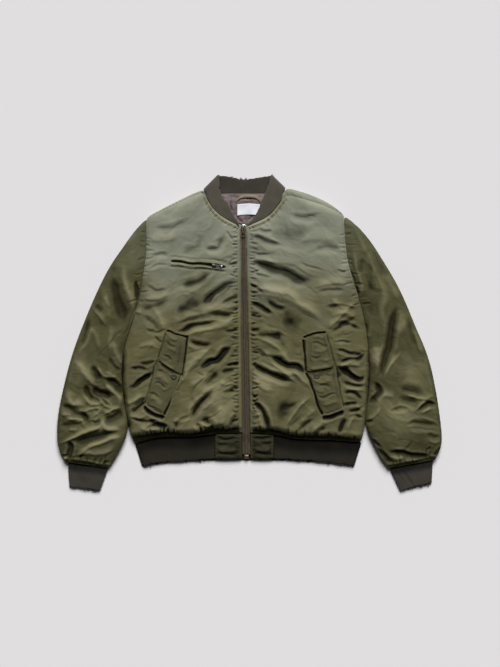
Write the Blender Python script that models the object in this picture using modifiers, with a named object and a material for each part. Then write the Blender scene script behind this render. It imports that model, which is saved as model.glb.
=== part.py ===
"""A padded bomber jacket laid flat on its back, zipped up, sleeves at its sides.

Right and left are the wearer's. +X is the wearer's left, +Y runs to the neck, +Z is up, and the
jacket rests on z = 0. Tables are in millimetres and the model is in metres.
"""
import math

import bmesh
import bpy
from mathutils import Matrix, Vector
from mathutils.bvhtree import BVHTree

MM = 0.001

# Driving sizes, mm
SEAM_GAP = 0.3          # left between sewn pieces
FOLD_GAP = 1.6          # left between a sleeve and the side that it lies against
BACK_WALL = 11.0        # back and under sleeves: shell, wadding and lining
FRONT_WALL = 12.0       # fronts and top sleeves
LAY = BACK_WALL + SEAM_GAP      # height of the underside of a piece that lies on the back
FRONT_RISE = 13.0       # height of the fronts over LAY at chest level
BLOUSE_RISE = 5.0       # more of it above the hem, where the fronts blouse
SLEEVE_RISE = 15.0
ROLL_REACH = 26.0       # how far in from a side fold the cloth takes to lie level
SEAM_REACH = 18.0
THINNEST = 3.0          # a front pressed flat in a seam
SHOULDER_LIP = 8.5      # height over the back wall of the strip that rolls over the shoulder
RIB_WALL = 4.0
RIB_TURN = 2.6          # radius of the turn at the sides of the hem and cuffs
COLLAR_WALL = 4.4
COLLAR_TURN = 5.6
COLLAR_REST = 2.5       # middle of the collar band's wall where it lies behind the neck
LINING_WALL = 1.4
TAPE_WALL = 1.4
TEETH_WIDE = 6.0
TEETH_HIGH = 3.6
LIP_WALL = 2.6
PATCH_WALL = 2.6
FLAP_WALL = 3.2
REST_GAP = 0.45         # between a piece and the faceted cloth that it lies on
SLIDER_AXIS = 1.9       # height of a pull's bar over its slider's plate, for scale 1

# Outlines, x and y. The sides run from the hem to the armpit, the armholes on to the shoulder.
SIDE_RIGHT = [(-284, -276), (-296, -257), (-303, -232), (-314, -179), (-320, -109),
              (-316, -50), (-298, 15)]
ARMHOLE_RIGHT = [(-298, 15), (-279, 66), (-267, 140), (-259, 186), (-257, 225), (-260, 260), (-256, 286)]
SIDE_LEFT = [(277, -274), (284, -250), (288, -225), (296, -160), (301, -100), (298, -45), (290, 20)]
ARMHOLE_LEFT = [(290, 20), (279, 68), (257, 130), (244, 182), (238, 225), (236, 262), (235, 292)]
SLEEVE_RIGHT_IN = [(-298, 15), (-316, -50), (-320, -109), (-314, -179), (-303.5, -232),
                   (-313, -272), (-335, -311), (-352, -338)]
SLEEVE_RIGHT_OUT = [(-256, 286), (-276, 270), (-314, 214), (-349, 165), (-384, 94), (-419, 10),
                    (-443, -55), (-464, -137), (-479, -210), (-481, -280), (-473, -316), (-458, -325)]
SLEEVE_LEFT_IN = [(290, 20), (298, -45), (301, -100), (297, -160), (289.5, -225),
                  (306, -270), (331, -317), (348, -338)]
SLEEVE_LEFT_OUT = [(235, 292), (256, 276), (292, 242), (314, 206), (362, 129), (390, 70),
                   (418, 0), (446, -64), (467, -165), (477, -240), (481, -286), (473, -314), (461, -319)]
FRONT_SHOULDER_RIGHT = [(-256, 284), (-185, 319), (-117, 350)]
NECKLINE_RIGHT = [(-117, 350), (-97, 314), (-69, 287), (-24.5, 266)]
FRONT_SHOULDER_LEFT = [(235, 290), (187, 318), (92, 344)]
NECKLINE_LEFT = [(92, 344), (61, 302), (38, 283), (-7.5, 266)]
BACK_TOP = [(-256, 286), (-250, 291), (-185, 325), (-120, 356), (-64, 346.5), (-12, 344), (38, 346.5),
            (88, 349), (91, 351), (92, 361.5), (151, 345), (193, 326), (230, 299), (235, 292)]
BACK_HEM = [(-284, -274.5), (-268, -264), (-200, -255.5), (-88, -250), (60, -250), (200, -262.5),
            (277, -272.5)]
HEM_RIGHT = [(-284, -276), (-226, -258), (-152, -261), (-88, -251), (-19, -251)]
HEM_LEFT = [(277, -274), (186, -267), (106, -264), (60, -254), (2, -251)]

# Main zip: x at the top and at the foot, and the half width that the fronts leave to it
ZIP_TOP = (-16.0, 262.0)
ZIP_FOOT = (-8.0, -316.0)
ZIP_HALF = (8.2, 10.5)
ZIP_STEP = 101.0        # between stations down the level length of the zip

# Largest folds: x0, y0, x1, y1, half width, height. A trough has a height below zero.
FOLDS_RIGHT = [
    (-66, 232, -170, 226, 18, -3.0),
    (-94, 150, -170, 70, 20, 4.0),
    (-50, 118, -200, 18, 22, 5.0),
    (-60, 60, -180, 10, 18, -4.0),
    (-44, 34, -176, -32, 20, 5.0),
    (-52, -30, -145, -140, 22, 6.0),
    (-40, -60, -120, -190, 16, -5.0),
    (-62, -104, -110, -235, 24, 6.0),
]
FOLDS_LEFT = [
    (20, 214, 150, 190, 20, 4.0),
    (16, 150, 130, 96, 20, -4.0),
    (20, 110, 190, 60, 22, 5.0),
    (16, 40, 130, -50, 18, -4.0),
    (20, 0, 120, -110, 22, 6.0),
    (14, -70, 110, -150, 18, -5.0),
    (16, -110, 130, -235, 26, 6.0),
]
FOLDS_SLEEVE_RIGHT = [
    (-300, 180, -380, 40, 18, 4.0),
    (-330, -20, -420, -120, 20, 5.0),
    (-325, -150, -440, -210, 18, -4.0),
    (-345, -250, -465, -260, 16, 4.0),
]
FOLDS_SLEEVE_LEFT = [
    (276, 190, 380, 20, 18, 4.0),
    (320, 40, 410, -110, 18, -4.0),
    (320, -90, 430, -230, 20, 5.0),
    (320, -240, 460, -270, 16, 4.0),
]

# Rib bands. Each row is one section: top x, y, foot x, y, from the right end to the left end.
HEM_RIB_FRONT_RIGHT = [(-88.6, -252, -88.6, -316), (-152, -261.6, -152, -321), (-226, -259, -226, -326),
                       (-268, -268, -252, -332), (-278, -273, -262, -334)]
HEM_RIB_FRONT_LEFT = [(61.6, -254.6, 62, -316), (106, -265, 106, -318), (151, -266.5, 151, -321),
                      (200, -269, 200, -326), (271, -273, 255, -333)]
HEM_RIB_BACK = [(-200, -256.6, -200, -324), (-88, -251.1, -88, -320), (60, -251.1, 60, -320),
                (200, -263.6, 200, -325)]
HEM_RIB_FOLD_RIGHT = ((-284, -278), (-267, -334.5))
HEM_RIB_FOLD_LEFT = ((277, -276), (260, -334.5))
CUFF_RIGHT = ((-456, -326), (-354, -341), (-452, -386), (-374, -395.6))
CUFF_LEFT = ((350, -340.5), (459, -321), (376, -395.6), (456, -377))
# Collar, wearer's right then left: seam x, y, free x, y
COLLAR_RIGHT = [(-25.5, 267, -29, 276), (-47, 277.5, -39, 291), (-69, 289.5, -49, 307), (-85, 304, -58, 320),
                (-97, 318, -66, 335), (-106, 338, -74, 354), (-108, 348, -75, 376)]
COLLAR_BACK = [(-90, 351.5, -62, 392), (-50, 346.6, -37, 387), (-12, 344.6, -12, 384), (26, 346.6, 14, 387),
               (64, 348.8, 38, 391)]
COLLAR_LEFT = [(82, 350, 49, 378), (80, 336, 40, 352), (69, 318, 30, 330), (58, 304, 24, 314),
               (38, 287, 15, 295), (16, 277, 8, 284), (-6.5, 267.5, -1, 276)]
COLLAR_FOLD_RIGHT = ((-116, 359), (-79, 396))
COLLAR_FOLD_LEFT = ((90, 362), (55, 396))

# Hand pockets: corners of the flap and of the patch, from the upper one near the side, clockwise
FLAP_RIGHT = ((-207, 1), (-158, -12), (-168, -108), (-230, -70))
PATCH_RIGHT = ((-229, -64), (-166, -101), (-215, -209), (-259, -179))
FLAP_LEFT = ((137, -13), (186, 0), (213, -87), (142, -99))
PATCH_LEFT = ((142, -92), (212, -79), (232, -190), (183, -209))
SNAP_RIGHT = (-189, -110)
SNAP_LEFT = (167, -109)
SNAP_RADIUS = 7.2

# Chest pocket: ends of its slot, the reach of its lips and its slider's place along the slot
CHEST_A = (-196.0, 178.5)
CHEST_B = (-61.0, 164.0)
LIP_SLOT = 2.1
LIP_SLOT_AT_SLIDER = 6.3
LIP_REACH = 9.0
CHEST_SLIDER_AT = 0.80

SIDE_SHARES = [0.0, 0.03, 0.1, 0.25, 0.4, 0.55, 0.7, 0.85, 1.0]    # sections up a side
SHOULDER_SHARES = [0.0, 0.06, 0.3, 0.6, 0.88, 1.0]
NECKLINE_SHARES = [0.0, 0.12, 0.3, 0.5, 0.7, 0.9, 1.0]
SLEEVE_SECTIONS = 14


# ---------------------------------------------------------------- materials
def material(name, colour, roughness, metallic=0.0, sheen=0.0):
    made = bpy.data.materials.new(name)
    made.use_nodes = True
    shader = made.node_tree.nodes["Principled BSDF"]
    shader.inputs["Base Color"].default_value = (*colour, 1.0)
    shader.inputs["Roughness"].default_value = roughness
    shader.inputs["Metallic"].default_value = metallic
    shader.inputs["Sheen Weight"].default_value = sheen
    made.diffuse_color = (*colour, 1.0)
    return made


# ---------------------------------------------------------------- lines and grids
def along(line, fractions):
    """Points of a polyline at these fractions of its length."""
    points = [Vector(p) for p in line]
    runs = [(b - a).length for a, b in zip(points, points[1:])]
    total = sum(runs)
    found = []
    for fraction in fractions:
        left = fraction * total
        for (a, b), run in zip(zip(points, points[1:]), runs):
            if left <= run or b is points[-1]:
                found.append(a.lerp(b, min(1.0, left / run)))
                break
            left -= run
    return found


def rounded(line, steps=6):
    """The polyline made smooth through its own points."""
    points = [Vector(p) for p in line]
    ends = [points[0] * 2 - points[1], *points, points[-1] * 2 - points[-2]]
    out = []
    for a, b, c, d in zip(ends, ends[1:], ends[2:], ends[3:]):
        for k in range(steps):
            t = k / steps
            out.append(0.5 * (2 * b + (c - a) * t + (2 * a - 5 * b + 4 * c - d) * t * t
                              + (3 * b - a - 3 * c + d) * t ** 3))
    return [*out, points[-1]]


def even(count):
    return [k / count for k in range(count + 1)]


def edged(count, near=(0.02, 0.065)):
    """Fractions from 0 to 1, closer together at both ends, for an edge that rolls over."""
    inner = [near[-1] + (1 - 2 * near[-1]) * k / count for k in range(count + 1)]
    return [0.0, *near[:-1], *inner, *(1 - f for f in reversed(near[:-1])), 1.0]


def patch(foot, head, start, end):
    """Rows of points between four lines: foot and head run across, start and end run up."""
    us = [(p - foot[0]).length / (foot[-1] - foot[0]).length for p in foot]
    vs = [(p.y - start[0].y) / (start[-1].y - start[0].y) for p in start]
    rows = []
    for v, a, b in zip(vs, start, end):
        row = []
        for u, c, d in zip(us, foot, head):
            corners = ((1 - u) * (1 - v) * foot[0] + u * (1 - v) * foot[-1]
                       + (1 - u) * v * head[0] + u * v * head[-1])
            row.append((1 - v) * c + v * d + (1 - u) * a + u * b - corners)
        rows.append(row)
    return rows


def gap_to(point, line):
    """Distance from a point to a polyline."""
    nearest = 1e9
    for a, b in zip(line, line[1:]):
        a, b = Vector(a), Vector(b)
        run = b - a
        t = max(0.0, min(1.0, (point - a).dot(run) / run.length_squared))
        nearest = min(nearest, (point - a - t * run).length)
    return nearest


def swell(distance, reach, edge):
    """Share of the full height at a distance from an edge, as a quarter of an ellipse."""
    t = min(max(distance / reach, 0.0), 1.0)
    return edge + (1 - edge) * math.sqrt(t * (2 - t))


def fold_height(point, folds):
    total = 0.0
    for x0, y0, x1, y1, width, height in folds:
        start, run = Vector((x0, y0)), Vector((x1 - x0, y1 - y0))
        t = (point - start).dot(run) / run.length_squared
        beyond = max(0.0, -t, t - 1) * run.length
        aside = abs((point - start).cross(run)) / run.length
        total += height * math.exp(-(aside / width) ** 2 - (beyond / (1.6 * width)) ** 2)
    return total


# ---------------------------------------------------------------- objects
def new_object(name, verts, faces, finish):
    """An object of these points, given in mm."""
    mesh = bpy.data.meshes.new(name)
    mesh.from_pydata([Vector(v) * MM for v in verts], [], faces)
    mesh.update()
    mesh.shade_smooth()
    mesh.set_sharp_from_angle(angle=math.radians(40))
    mesh.materials.append(finish)
    made = bpy.data.objects.new(name, mesh)
    jacket.objects.link(made)
    return made


def wall(name, rows, under, over, finish):
    """A closed cloth wall over a grid of x, y points, between two heights given by point."""
    high, wide = len(rows), len(rows[0])
    flat = [p for row in rows for p in row]
    verts = [(p.x, p.y, under(p)) for p in flat] + [(p.x, p.y, over(p)) for p in flat]
    size = high * wide
    faces = []
    for j in range(high - 1):
        for i in range(wide - 1):
            a, b, c, d = (j * wide + i, j * wide + i + 1, (j + 1) * wide + i + 1, (j + 1) * wide + i)
            faces += [(a, c, b), (a, d, c), (size + a, size + b, size + c), (size + a, size + c, size + d)]
    rim = ([i for i in range(wide)] + [j * wide + wide - 1 for j in range(1, high)]
           + [(high - 1) * wide + i for i in range(wide - 2, -1, -1)]
           + [j * wide for j in range(high - 2, 0, -1)])
    for a, b in zip(rim, rim[1:] + rim[:1]):
        faces.append((a, b, size + b, size + a))
    return finish_outward(new_object(name, verts, faces, finish))


def finish_outward(made):
    """Turns the faces of a closed mesh outwards."""
    shape = bmesh.new()
    shape.from_mesh(made.data)
    bmesh.ops.recalc_face_normals(shape, faces=shape.faces)
    shape.to_mesh(made.data)
    shape.free()
    return made


def band(name, sections, thick, across, finish, closed=False):
    """A cloth band of one thickness. Each section is its seam point and its free point, x, y, z."""
    count = len(sections)
    middle = [[Vector(seam).lerp(Vector(free), k / across) for k in range(across + 1)]
              for seam, free in sections]
    outer, inner = [], []
    for i, row in enumerate(middle):
        before = middle[i - 1] if closed or i else row
        after = middle[(i + 1) % count] if closed or i + 1 < count else row
        for k, point in enumerate(row):
            side = row[min(k + 1, across)] - row[max(k - 1, 0)]
            normal = (after[k] - before[k]).cross(side).normalized()
            outer.append(point + normal * thick / 2)
            inner.append(point - normal * thick / 2)
    size, wide = len(outer), across + 1
    faces = []
    for i in range(count if closed else count - 1):
        following = (i + 1) % count
        for k in range(across):
            a, b, c, d = (i * wide + k, following * wide + k, following * wide + k + 1, i * wide + k + 1)
            faces += [(a, b, c, d), (size + a, size + d, size + c, size + b)]
        for k, turn in ((0, 1), (across, -1)):
            a, b = i * wide + k, following * wide + k
            faces.append((a, size + a, size + b, b)[::turn])
    if not closed:
        for i, turn in ((0, -1), (count - 1, 1)):
            for k in range(across):
                a, b = i * wide + k, i * wide + k + 1
                faces.append((a, size + a, size + b, b)[::-turn])
    return finish_outward(new_object(name, outer + inner, faces, finish))


def turned(name, profile, place, finish, steps=20):
    """A turned piece: its profile is radius and height, from the top outside to the foot."""
    mesh = bpy.data.meshes.new(name)
    edges = [(k, k + 1) for k in range(len(profile) - 1)]
    mesh.from_pydata([(r * MM, 0, z * MM) for r, z in profile], edges, [])
    mesh.materials.append(finish)
    made = bpy.data.objects.new(name, mesh)
    jacket.objects.link(made)
    made.location = Vector(place) * MM
    screw = made.modifiers.new("turn", "SCREW")
    screw.steps = screw.render_steps = steps
    screw.use_merge_vertices = True
    screw.merge_threshold = 0.00005
    return made


def block(name, centre, sides, finish, bevel=0.6):
    """A box of this centre and these sides in mm, with its edges rounded."""
    shape = bmesh.new()
    bmesh.ops.create_cube(shape, size=1.0, matrix=Matrix.Diagonal((*(s * MM for s in sides), 1.0)))
    bmesh.ops.bevel(shape, geom=shape.edges[:], offset=bevel * MM, segments=2, affect="EDGES", profile=0.5)
    mesh = bpy.data.meshes.new(name)
    shape.to_mesh(mesh)
    shape.free()
    mesh.materials.append(finish)
    made = bpy.data.objects.new(name, mesh)
    jacket.objects.link(made)
    made.location = Vector(centre) * MM
    return made


def top_finder(objects):
    """A function that gives the height of the highest cloth around a place, in mm."""
    trees = []
    for made in objects:
        verts = [v.co.copy() for v in made.data.vertices]
        trees.append(BVHTree.FromPolygons(verts, [tuple(f.vertices) for f in made.data.polygons]))

    def height(x, y, around=4.0):
        best = 0.0
        for dx in (-around, 0.0, around):
            for dy in (-around, 0.0, around):
                start = Vector(((x + dx) * MM, (y + dy) * MM, 0.2))
                for tree in trees:
                    hit = tree.ray_cast(start, Vector((0, 0, -1)))[0]
                    if hit:
                        best = max(best, hit.z / MM)
        return best
    return height


# ---------------------------------------------------------------- fronts, back and sleeves
def zip_x(y):
    return ZIP_TOP[0] + (ZIP_FOOT[0] - ZIP_TOP[0]) * (ZIP_TOP[1] - y) / (ZIP_TOP[1] - ZIP_FOOT[1])


def zip_half(y):
    return ZIP_HALF[0] + (ZIP_HALF[1] - ZIP_HALF[0]) * (ZIP_TOP[1] - y) / (ZIP_TOP[1] - ZIP_FOOT[1])


def side_line(side, armhole):
    """Stations up a side and round its armhole, and those of the armhole alone."""
    arm = along(rounded(armhole), edged(6))
    low = along(rounded(side), SIDE_SHARES)
    return low + arm[1:], arm


def make_front(name, side, armhole, shoulder, neckline, hem, folds, facing, finish):
    """facing is -1 for the wearer's right front and 1 for the left one."""
    outer, arm = side_line(side, armhole)
    outer[-1] = Vector(shoulder[0])
    head = along(shoulder, SHOULDER_SHARES)[:-1] + along(rounded(neckline), NECKLINE_SHARES)
    reach = sum((b - a).length for a, b in zip(head, head[1:]))
    walked, shares = 0.0, [0.0]
    for a, b in zip(head, head[1:]):
        walked += (b - a).length
        shares.append(walked / reach)
    foot = along(hem, shares)
    rise = [(p.y - outer[0].y) / (outer[-1].y - outer[0].y) for p in outer]
    low, high = foot[-1].y, head[-1].y
    inner = [Vector((zip_x(low + (high - low) * r) + facing * zip_half(low + (high - low) * r),
                     low + (high - low) * r)) for r in rise]
    foot[-1], head[-1] = inner[0], inner[-1]
    rows = patch(foot, head, outer, inner)
    corner = len(SHOULDER_SHARES) - 1
    lines = {"side": outer[:len(SIDE_SHARES)], "arm": arm, "top": head[:corner + 1], "neck": head[corner:],
             "hem": foot, "zip": inner}

    def over(point):
        share = (swell(gap_to(point, lines["side"]), ROLL_REACH, 0.12)
                 * swell(gap_to(point, lines["hem"]), ROLL_REACH, 0.22)
                 * swell(gap_to(point, lines["arm"]), SEAM_REACH, 0.5)
                 * swell(gap_to(point, lines["top"]), SEAM_REACH, 0.6)
                 * swell(gap_to(point, lines["neck"]), SEAM_REACH, 0.35)
                 * swell(gap_to(point, lines["zip"]) - 7.0, 30.0, 0.4))
        blouse = BLOUSE_RISE * min(1.0, max(0.0, (40 - point.y) / 200))
        full = FRONT_RISE + blouse + fold_height(point, folds)
        return LAY + max(THINNEST * min(1.0, share * 4), full * share)

    def under(point):
        return max(LAY, over(point) - FRONT_WALL)

    return wall(name, rows, under, over, finish)


def level_at(line, x):
    """The y of a line that runs along x, at this x."""
    for a, b in zip(line, line[1:]):
        if a[0] <= x <= b[0]:
            return a[1] + (b[1] - a[1]) * (x - a[0]) / (b[0] - a[0])
    return line[-1][1]


def make_back(finish):
    """The back panel, flat underneath, with the strips that roll over both shoulders."""
    right, _ = side_line(SIDE_RIGHT, ARMHOLE_RIGHT)
    left, _ = side_line(SIDE_LEFT, ARMHOLE_LEFT)
    shoulder_right = along(FRONT_SHOULDER_RIGHT, SHOULDER_SHARES)
    shoulder_left = along(FRONT_SHOULDER_LEFT, SHOULDER_SHARES)[::-1]
    behind_neck = [shoulder_right[-1].x + 1.6, -90, -50, -12, 26, 64, shoulder_left[0].x - 1.6]

    # Each column has a point on the shoulder seam, one just past it, one on the strip and one on the edge.
    seam_row, rise_row, strip_row, head = [], [], [], []
    for point in shoulder_right + behind_neck + shoulder_left:
        on_strip = isinstance(point, Vector)
        x = point.x if on_strip else point
        edge = Vector((x, level_at(BACK_TOP, x)))
        seam = Vector((x, min(point.y + 0.6, edge.y - 1.5))) if on_strip else edge - Vector((0, 1.6))
        seam_row.append(seam)
        rise_row.append(seam + Vector((0, 0.4)))
        strip_row.append(seam.lerp(edge, 0.6))
        head.append(edge)
    hem_right, hem_left = BACK_HEM[0][0], BACK_HEM[-1][0]
    foot = []
    for point in head:
        share = (point.x - head[0].x) / (head[-1].x - head[0].x)
        x = hem_right + (hem_left - hem_right) * share
        foot.append(Vector((x, level_at(BACK_HEM, x))))
    right[0], right[-1], left[0], left[-1] = foot[0], head[0], foot[-1], head[-1]
    rows = patch(foot, head, right, left)
    rows = rows[:-3] + [seam_row, rise_row, strip_row, head]
    lifted = {}
    ends = len(shoulder_right)
    for row, share in ((rise_row, 0.85), (strip_row, 1.0), (head, 0.3)):
        for k, point in enumerate(row):
            if 0 < k < ends or len(row) - ends <= k < len(row) - 1:
                lifted[tuple(point)] = share

    def under(point):
        near = min(gap_to(point, right), gap_to(point, left))
        return 0.0 if near > 10 else BACK_WALL * 0.55 * (1 - swell(near, 10.0, 0.0))

    def over(point):
        hem = swell(gap_to(point, foot), 14.0, 0.5)
        return BACK_WALL * hem + SHOULDER_LIP * lifted.get(tuple(point), 0.0)

    return wall("back_panel", rows, under, over, finish)


def make_sleeve(which, side, inside, outside, armhole, folds, facing, finish):
    """Both halves of a sleeve: the under half is flat below, the top half lies on it."""
    _, arm = side_line(side, armhole)
    shift = Vector((facing * SEAM_GAP, 0))
    fractions = even(SLEEVE_SECTIONS)
    shares = [0.0]
    for a, b in zip(arm, arm[1:]):
        shares.append(shares[-1] + (b - a).length)
    shares = [s / shares[-1] for s in shares]
    starts = [p + Vector((facing * FOLD_GAP, 0)) for p in along(rounded(inside), fractions)]
    ends = along(rounded(outside), fractions)
    ends[0] = arm[-1]
    rows = []
    for k, (start, end) in enumerate(zip(starts, ends)):
        bow = max(0.0, 1 - k / 4)
        row = []
        for share, seam in zip(shares, arm):
            straight = arm[0].lerp(arm[-1], share)
            row.append(start.lerp(end, share) + (seam - straight) * bow)
        rows.append(row if k else [p + shift for p in arm])
    seam_edge, cuff_edge = rows[0], rows[-1]
    folded = [[row[0] for row in rows], [row[-1] for row in rows]]

    def over(point):
        share = (swell(min(gap_to(point, folded[0]), gap_to(point, folded[1])), ROLL_REACH, 0.12)
                 * swell(gap_to(point, seam_edge), SEAM_REACH, 0.5)
                 * swell(gap_to(point, cuff_edge), 22.0, 0.3))
        return LAY + max(1.5, (SLEEVE_RISE + fold_height(point, folds)) * share)

    def under(point):
        return max(LAY, over(point) - FRONT_WALL)

    def low(point):
        near = min(gap_to(point, folded[0]), gap_to(point, folded[1]))
        return 0.0 if near > 12 else BACK_WALL * 0.6 * (1 - swell(near, 12.0, 0.0))

    def level(point):
        return BACK_WALL * swell(gap_to(point, cuff_edge), 12.0, 0.75)

    wall(f"sleeve_{which}_top", rows, under, over, finish)
    wall(f"sleeve_{which}_under", rows[:1] + rows[1:-1:2] + rows[-1:], low, level, finish)


# ---------------------------------------------------------------- ribs
def turn_sections(fold, low, high, radius, facing, steps=5):
    """Sections of a band that turns over a fold line, from its upper to its lower layer."""
    seam, free = (Vector(p) for p in fold)
    out = Vector((-(free - seam).y, (free - seam).x)).normalized()
    out = out if out.x * facing > 0 else -out
    found = []
    for k in range(1, steps):
        angle = math.pi * k / steps
        shift = out * (math.sin(angle) - 1) * radius
        height = (low + high) / 2 + (high - low) / 2 * math.cos(angle)
        found.append(((*(seam + shift), height), (*(free + shift), height)))
    return found


def make_hem_rib(finish):
    low = RIB_WALL / 2
    high = low + 2 * RIB_TURN
    inset = RIB_WALL / 2
    right = [((a, b, high), (c, d, high)) for a, b, c, d in HEM_RIB_FRONT_RIGHT]
    left = [((a, b, high), (c, d, high)) for a, b, c, d in reversed(HEM_RIB_FRONT_LEFT)]
    back = [((a, b, low), (c, d, low)) for a, b, c, d in HEM_RIB_BACK]
    fold_right = tuple((x + inset, y) for x, y in HEM_RIB_FOLD_RIGHT)
    fold_left = tuple((x - inset, y) for x, y in HEM_RIB_FOLD_LEFT)
    sections = (right + turn_sections(fold_right, low, high, RIB_TURN, -1) + back
                + turn_sections(fold_left, low, high, RIB_TURN, 1)[::-1] + left)
    band("hem_rib", sections, RIB_WALL, 2, finish)


def make_cuff(name, corners, finish):
    """A flattened rib tube: corners are top a, top b, foot a, foot b."""
    top_a, top_b, foot_a, foot_b = (Vector(p) for p in corners)
    low = RIB_WALL / 2
    high = low + 2 * RIB_TURN
    inset = RIB_WALL / 2 + 0.2
    across = (top_b - top_a).normalized()
    a = (top_a + across * inset, foot_a + across * inset)
    b = (top_b - across * inset, foot_b - across * inset)
    steps = 6
    flat = [0.06 + 0.88 * k / steps for k in range(steps + 1)]
    upper = [((*a[0].lerp(b[0], t), high), (*a[1].lerp(b[1], t), high)) for t in flat]
    lower = [((*b[0].lerp(a[0], t), low), (*b[1].lerp(a[1], t), low)) for t in flat]
    sections = (upper + turn_sections(b, low, high, RIB_TURN, 1) + lower
                + turn_sections(a, low, high, RIB_TURN, -1)[::-1])
    band(name, sections, RIB_WALL, 2, finish, closed=True)


def make_collar(finish):
    low = COLLAR_REST
    high = low + 2 * COLLAR_TURN + 2.2
    inset = COLLAR_WALL / 2
    right = [((a, b, high - 0.2), (c, d, high + 0.6)) for a, b, c, d in COLLAR_RIGHT]
    left = [((a, b, high - 0.2), (c, d, high + 0.6)) for a, b, c, d in COLLAR_LEFT]
    back = [((a, b, low), (c, d, low)) for a, b, c, d in COLLAR_BACK]
    out = Vector((-0.7, 0.7)) * inset
    fold_right = tuple(tuple(Vector(p) - out) for p in COLLAR_FOLD_RIGHT)
    out.x = -out.x
    fold_left = tuple(tuple(Vector(p) - out) for p in COLLAR_FOLD_LEFT)
    sections = (right + turn_sections(fold_right, low, high, COLLAR_TURN, -1, 6) + back
                + turn_sections(fold_left, low, high, COLLAR_TURN, 1, 6)[::-1] + left)
    band("collar_rib", sections, COLLAR_WALL, 3, finish)


# ---------------------------------------------------------------- hem blocks and main zip
def zip_height(y):
    """Height of the zip tape's underside: level on the back, sinking to the hem band."""
    t = min(1.0, max(0.0, (-247 - y) / 30))
    return LAY + 0.6 - 4.6 * t * t * (3 - 2 * t)


def strip(name, x_from, x_to, ys, under, thick, finish):
    """A straight strip along the zip, between two functions of y."""
    rows = [[Vector((x_from(y), y)), Vector((x_to(y), y))] for y in ys]
    return wall(name, rows, lambda p: under(p.y), lambda p: under(p.y) + thick, finish)


def make_hem_block(name, far, facing, finish):
    top, foot = -251.6, -317.0
    ys = [top, top - 6, -268, -284, -300, foot + 5, foot]
    rows = []
    for y in ys:
        near = zip_x(y) + facing * zip_half(y)
        rows.append([Vector((near + (far - near) * t, y)) for t in (0, 0.06, 0.28, 0.5, 0.72, 0.94, 1)])
    rim = [[row[0] for row in rows], [row[-1] for row in rows], rows[0], rows[-1]]
    under = RIB_WALL + 1.2

    def over(point):
        return under + 8.0 * min(swell(gap_to(point, line), 10.0, 0.5) for line in rim)

    return wall(name, rows, lambda p: under, over, finish)


def make_zip(tape, teeth, metal):
    straight = [ZIP_TOP[1] - 2 - ZIP_STEP * k for k in range(6)]
    ys = straight + [-252.0, -258.0, -266.0, -277.0, ZIP_FOOT[1] + 10]
    half = TEETH_WIDE / 2
    for name, facing in (("zip_tape_right", -1), ("zip_tape_left", 1)):
        strip(name, lambda y, f=facing: zip_x(y) + f * (half + SEAM_GAP),
              lambda y, f=facing: zip_x(y) + f * (zip_half(y) - SEAM_GAP), ys, zip_height, TAPE_WALL, tape)
    chain = [ZIP_TOP[1] - 12, *ys[1:]]
    rows = [[Vector((zip_x(y) + half * t, y)) for t in (-1, -0.6, 0.6, 1)] for y in chain]

    def over(point):
        crown = 1 - 0.35 * (abs(point.x - zip_x(point.y)) / half > 0.8)
        return zip_height(point.y) - 0.4 + TEETH_HIGH * crown

    wall("zip_chain", rows, lambda p: zip_height(p.y) - 0.4, over, teeth)
    foot = ZIP_FOOT[1] + 6
    block("zip_end_box", (zip_x(foot), foot - 1, zip_height(foot) + 1.4), (11, 9.5, 3.8), metal)


# ---------------------------------------------------------------- sliders and pulls

def union(target, others):
    """Joins other objects to the target as one solid."""
    for other in others:
        joint = target.modifiers.new("join", "BOOLEAN")
        joint.operation = "UNION"
        joint.object = other
    bpy.context.view_layer.update()
    graph = bpy.context.evaluated_depsgraph_get()
    whole = bpy.data.meshes.new_from_object(target.evaluated_get(graph))
    target.modifiers.clear()
    target.data = whole
    for other in others:
        bpy.data.objects.remove(other)
    return target


def loose_box(name, centre, sides, finish):
    """A plain box whose object stays at the origin, to be joined to another."""
    shape = bmesh.new()
    place = Matrix.Translation(Vector(centre) * MM) @ Matrix.Diagonal((*(s * MM for s in sides), 1.0))
    bmesh.ops.create_cube(shape, size=1.0, matrix=place)
    mesh = bpy.data.meshes.new(name)
    shape.to_mesh(mesh)
    shape.free()
    mesh.materials.append(finish)
    made = bpy.data.objects.new(name, mesh)
    jacket.objects.link(made)
    return made


def outline_plate(name, outline, thick, finish, holes=()):
    """A flat plate from an outline in x, y, mm, with round or long holes."""
    curve = bpy.data.curves.new(name, "CURVE")
    curve.dimensions = "2D"
    curve.fill_mode = "BOTH"
    curve.extrude = thick / 2 * MM
    for line in (outline, *holes):
        spline = curve.splines.new("POLY")
        spline.points.add(len(line) - 1)
        spline.use_cyclic_u = True
        for point, (x, y) in zip(spline.points, line):
            point.co = (x * MM, y * MM, 0, 1)
    made = bpy.data.objects.new(name, curve)
    jacket.objects.link(made)
    bpy.context.view_layer.update()
    graph = bpy.context.evaluated_depsgraph_get()
    mesh = bpy.data.meshes.new_from_object(made.evaluated_get(graph))
    shape = bmesh.new()
    shape.from_mesh(mesh)
    bmesh.ops.remove_doubles(shape, verts=shape.verts, dist=1e-6)
    shape.to_mesh(mesh)
    shape.free()
    mesh.materials.clear()
    mesh.materials.append(finish)
    bpy.data.objects.remove(made)
    flat = bpy.data.objects.new(name, mesh)
    jacket.objects.link(flat)
    return flat


def ring_line(centre, radius, count=16):
    return [(centre[0] + radius * math.cos(2 * math.pi * k / count),
             centre[1] + radius * math.sin(2 * math.pi * k / count)) for k in range(count)]


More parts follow.
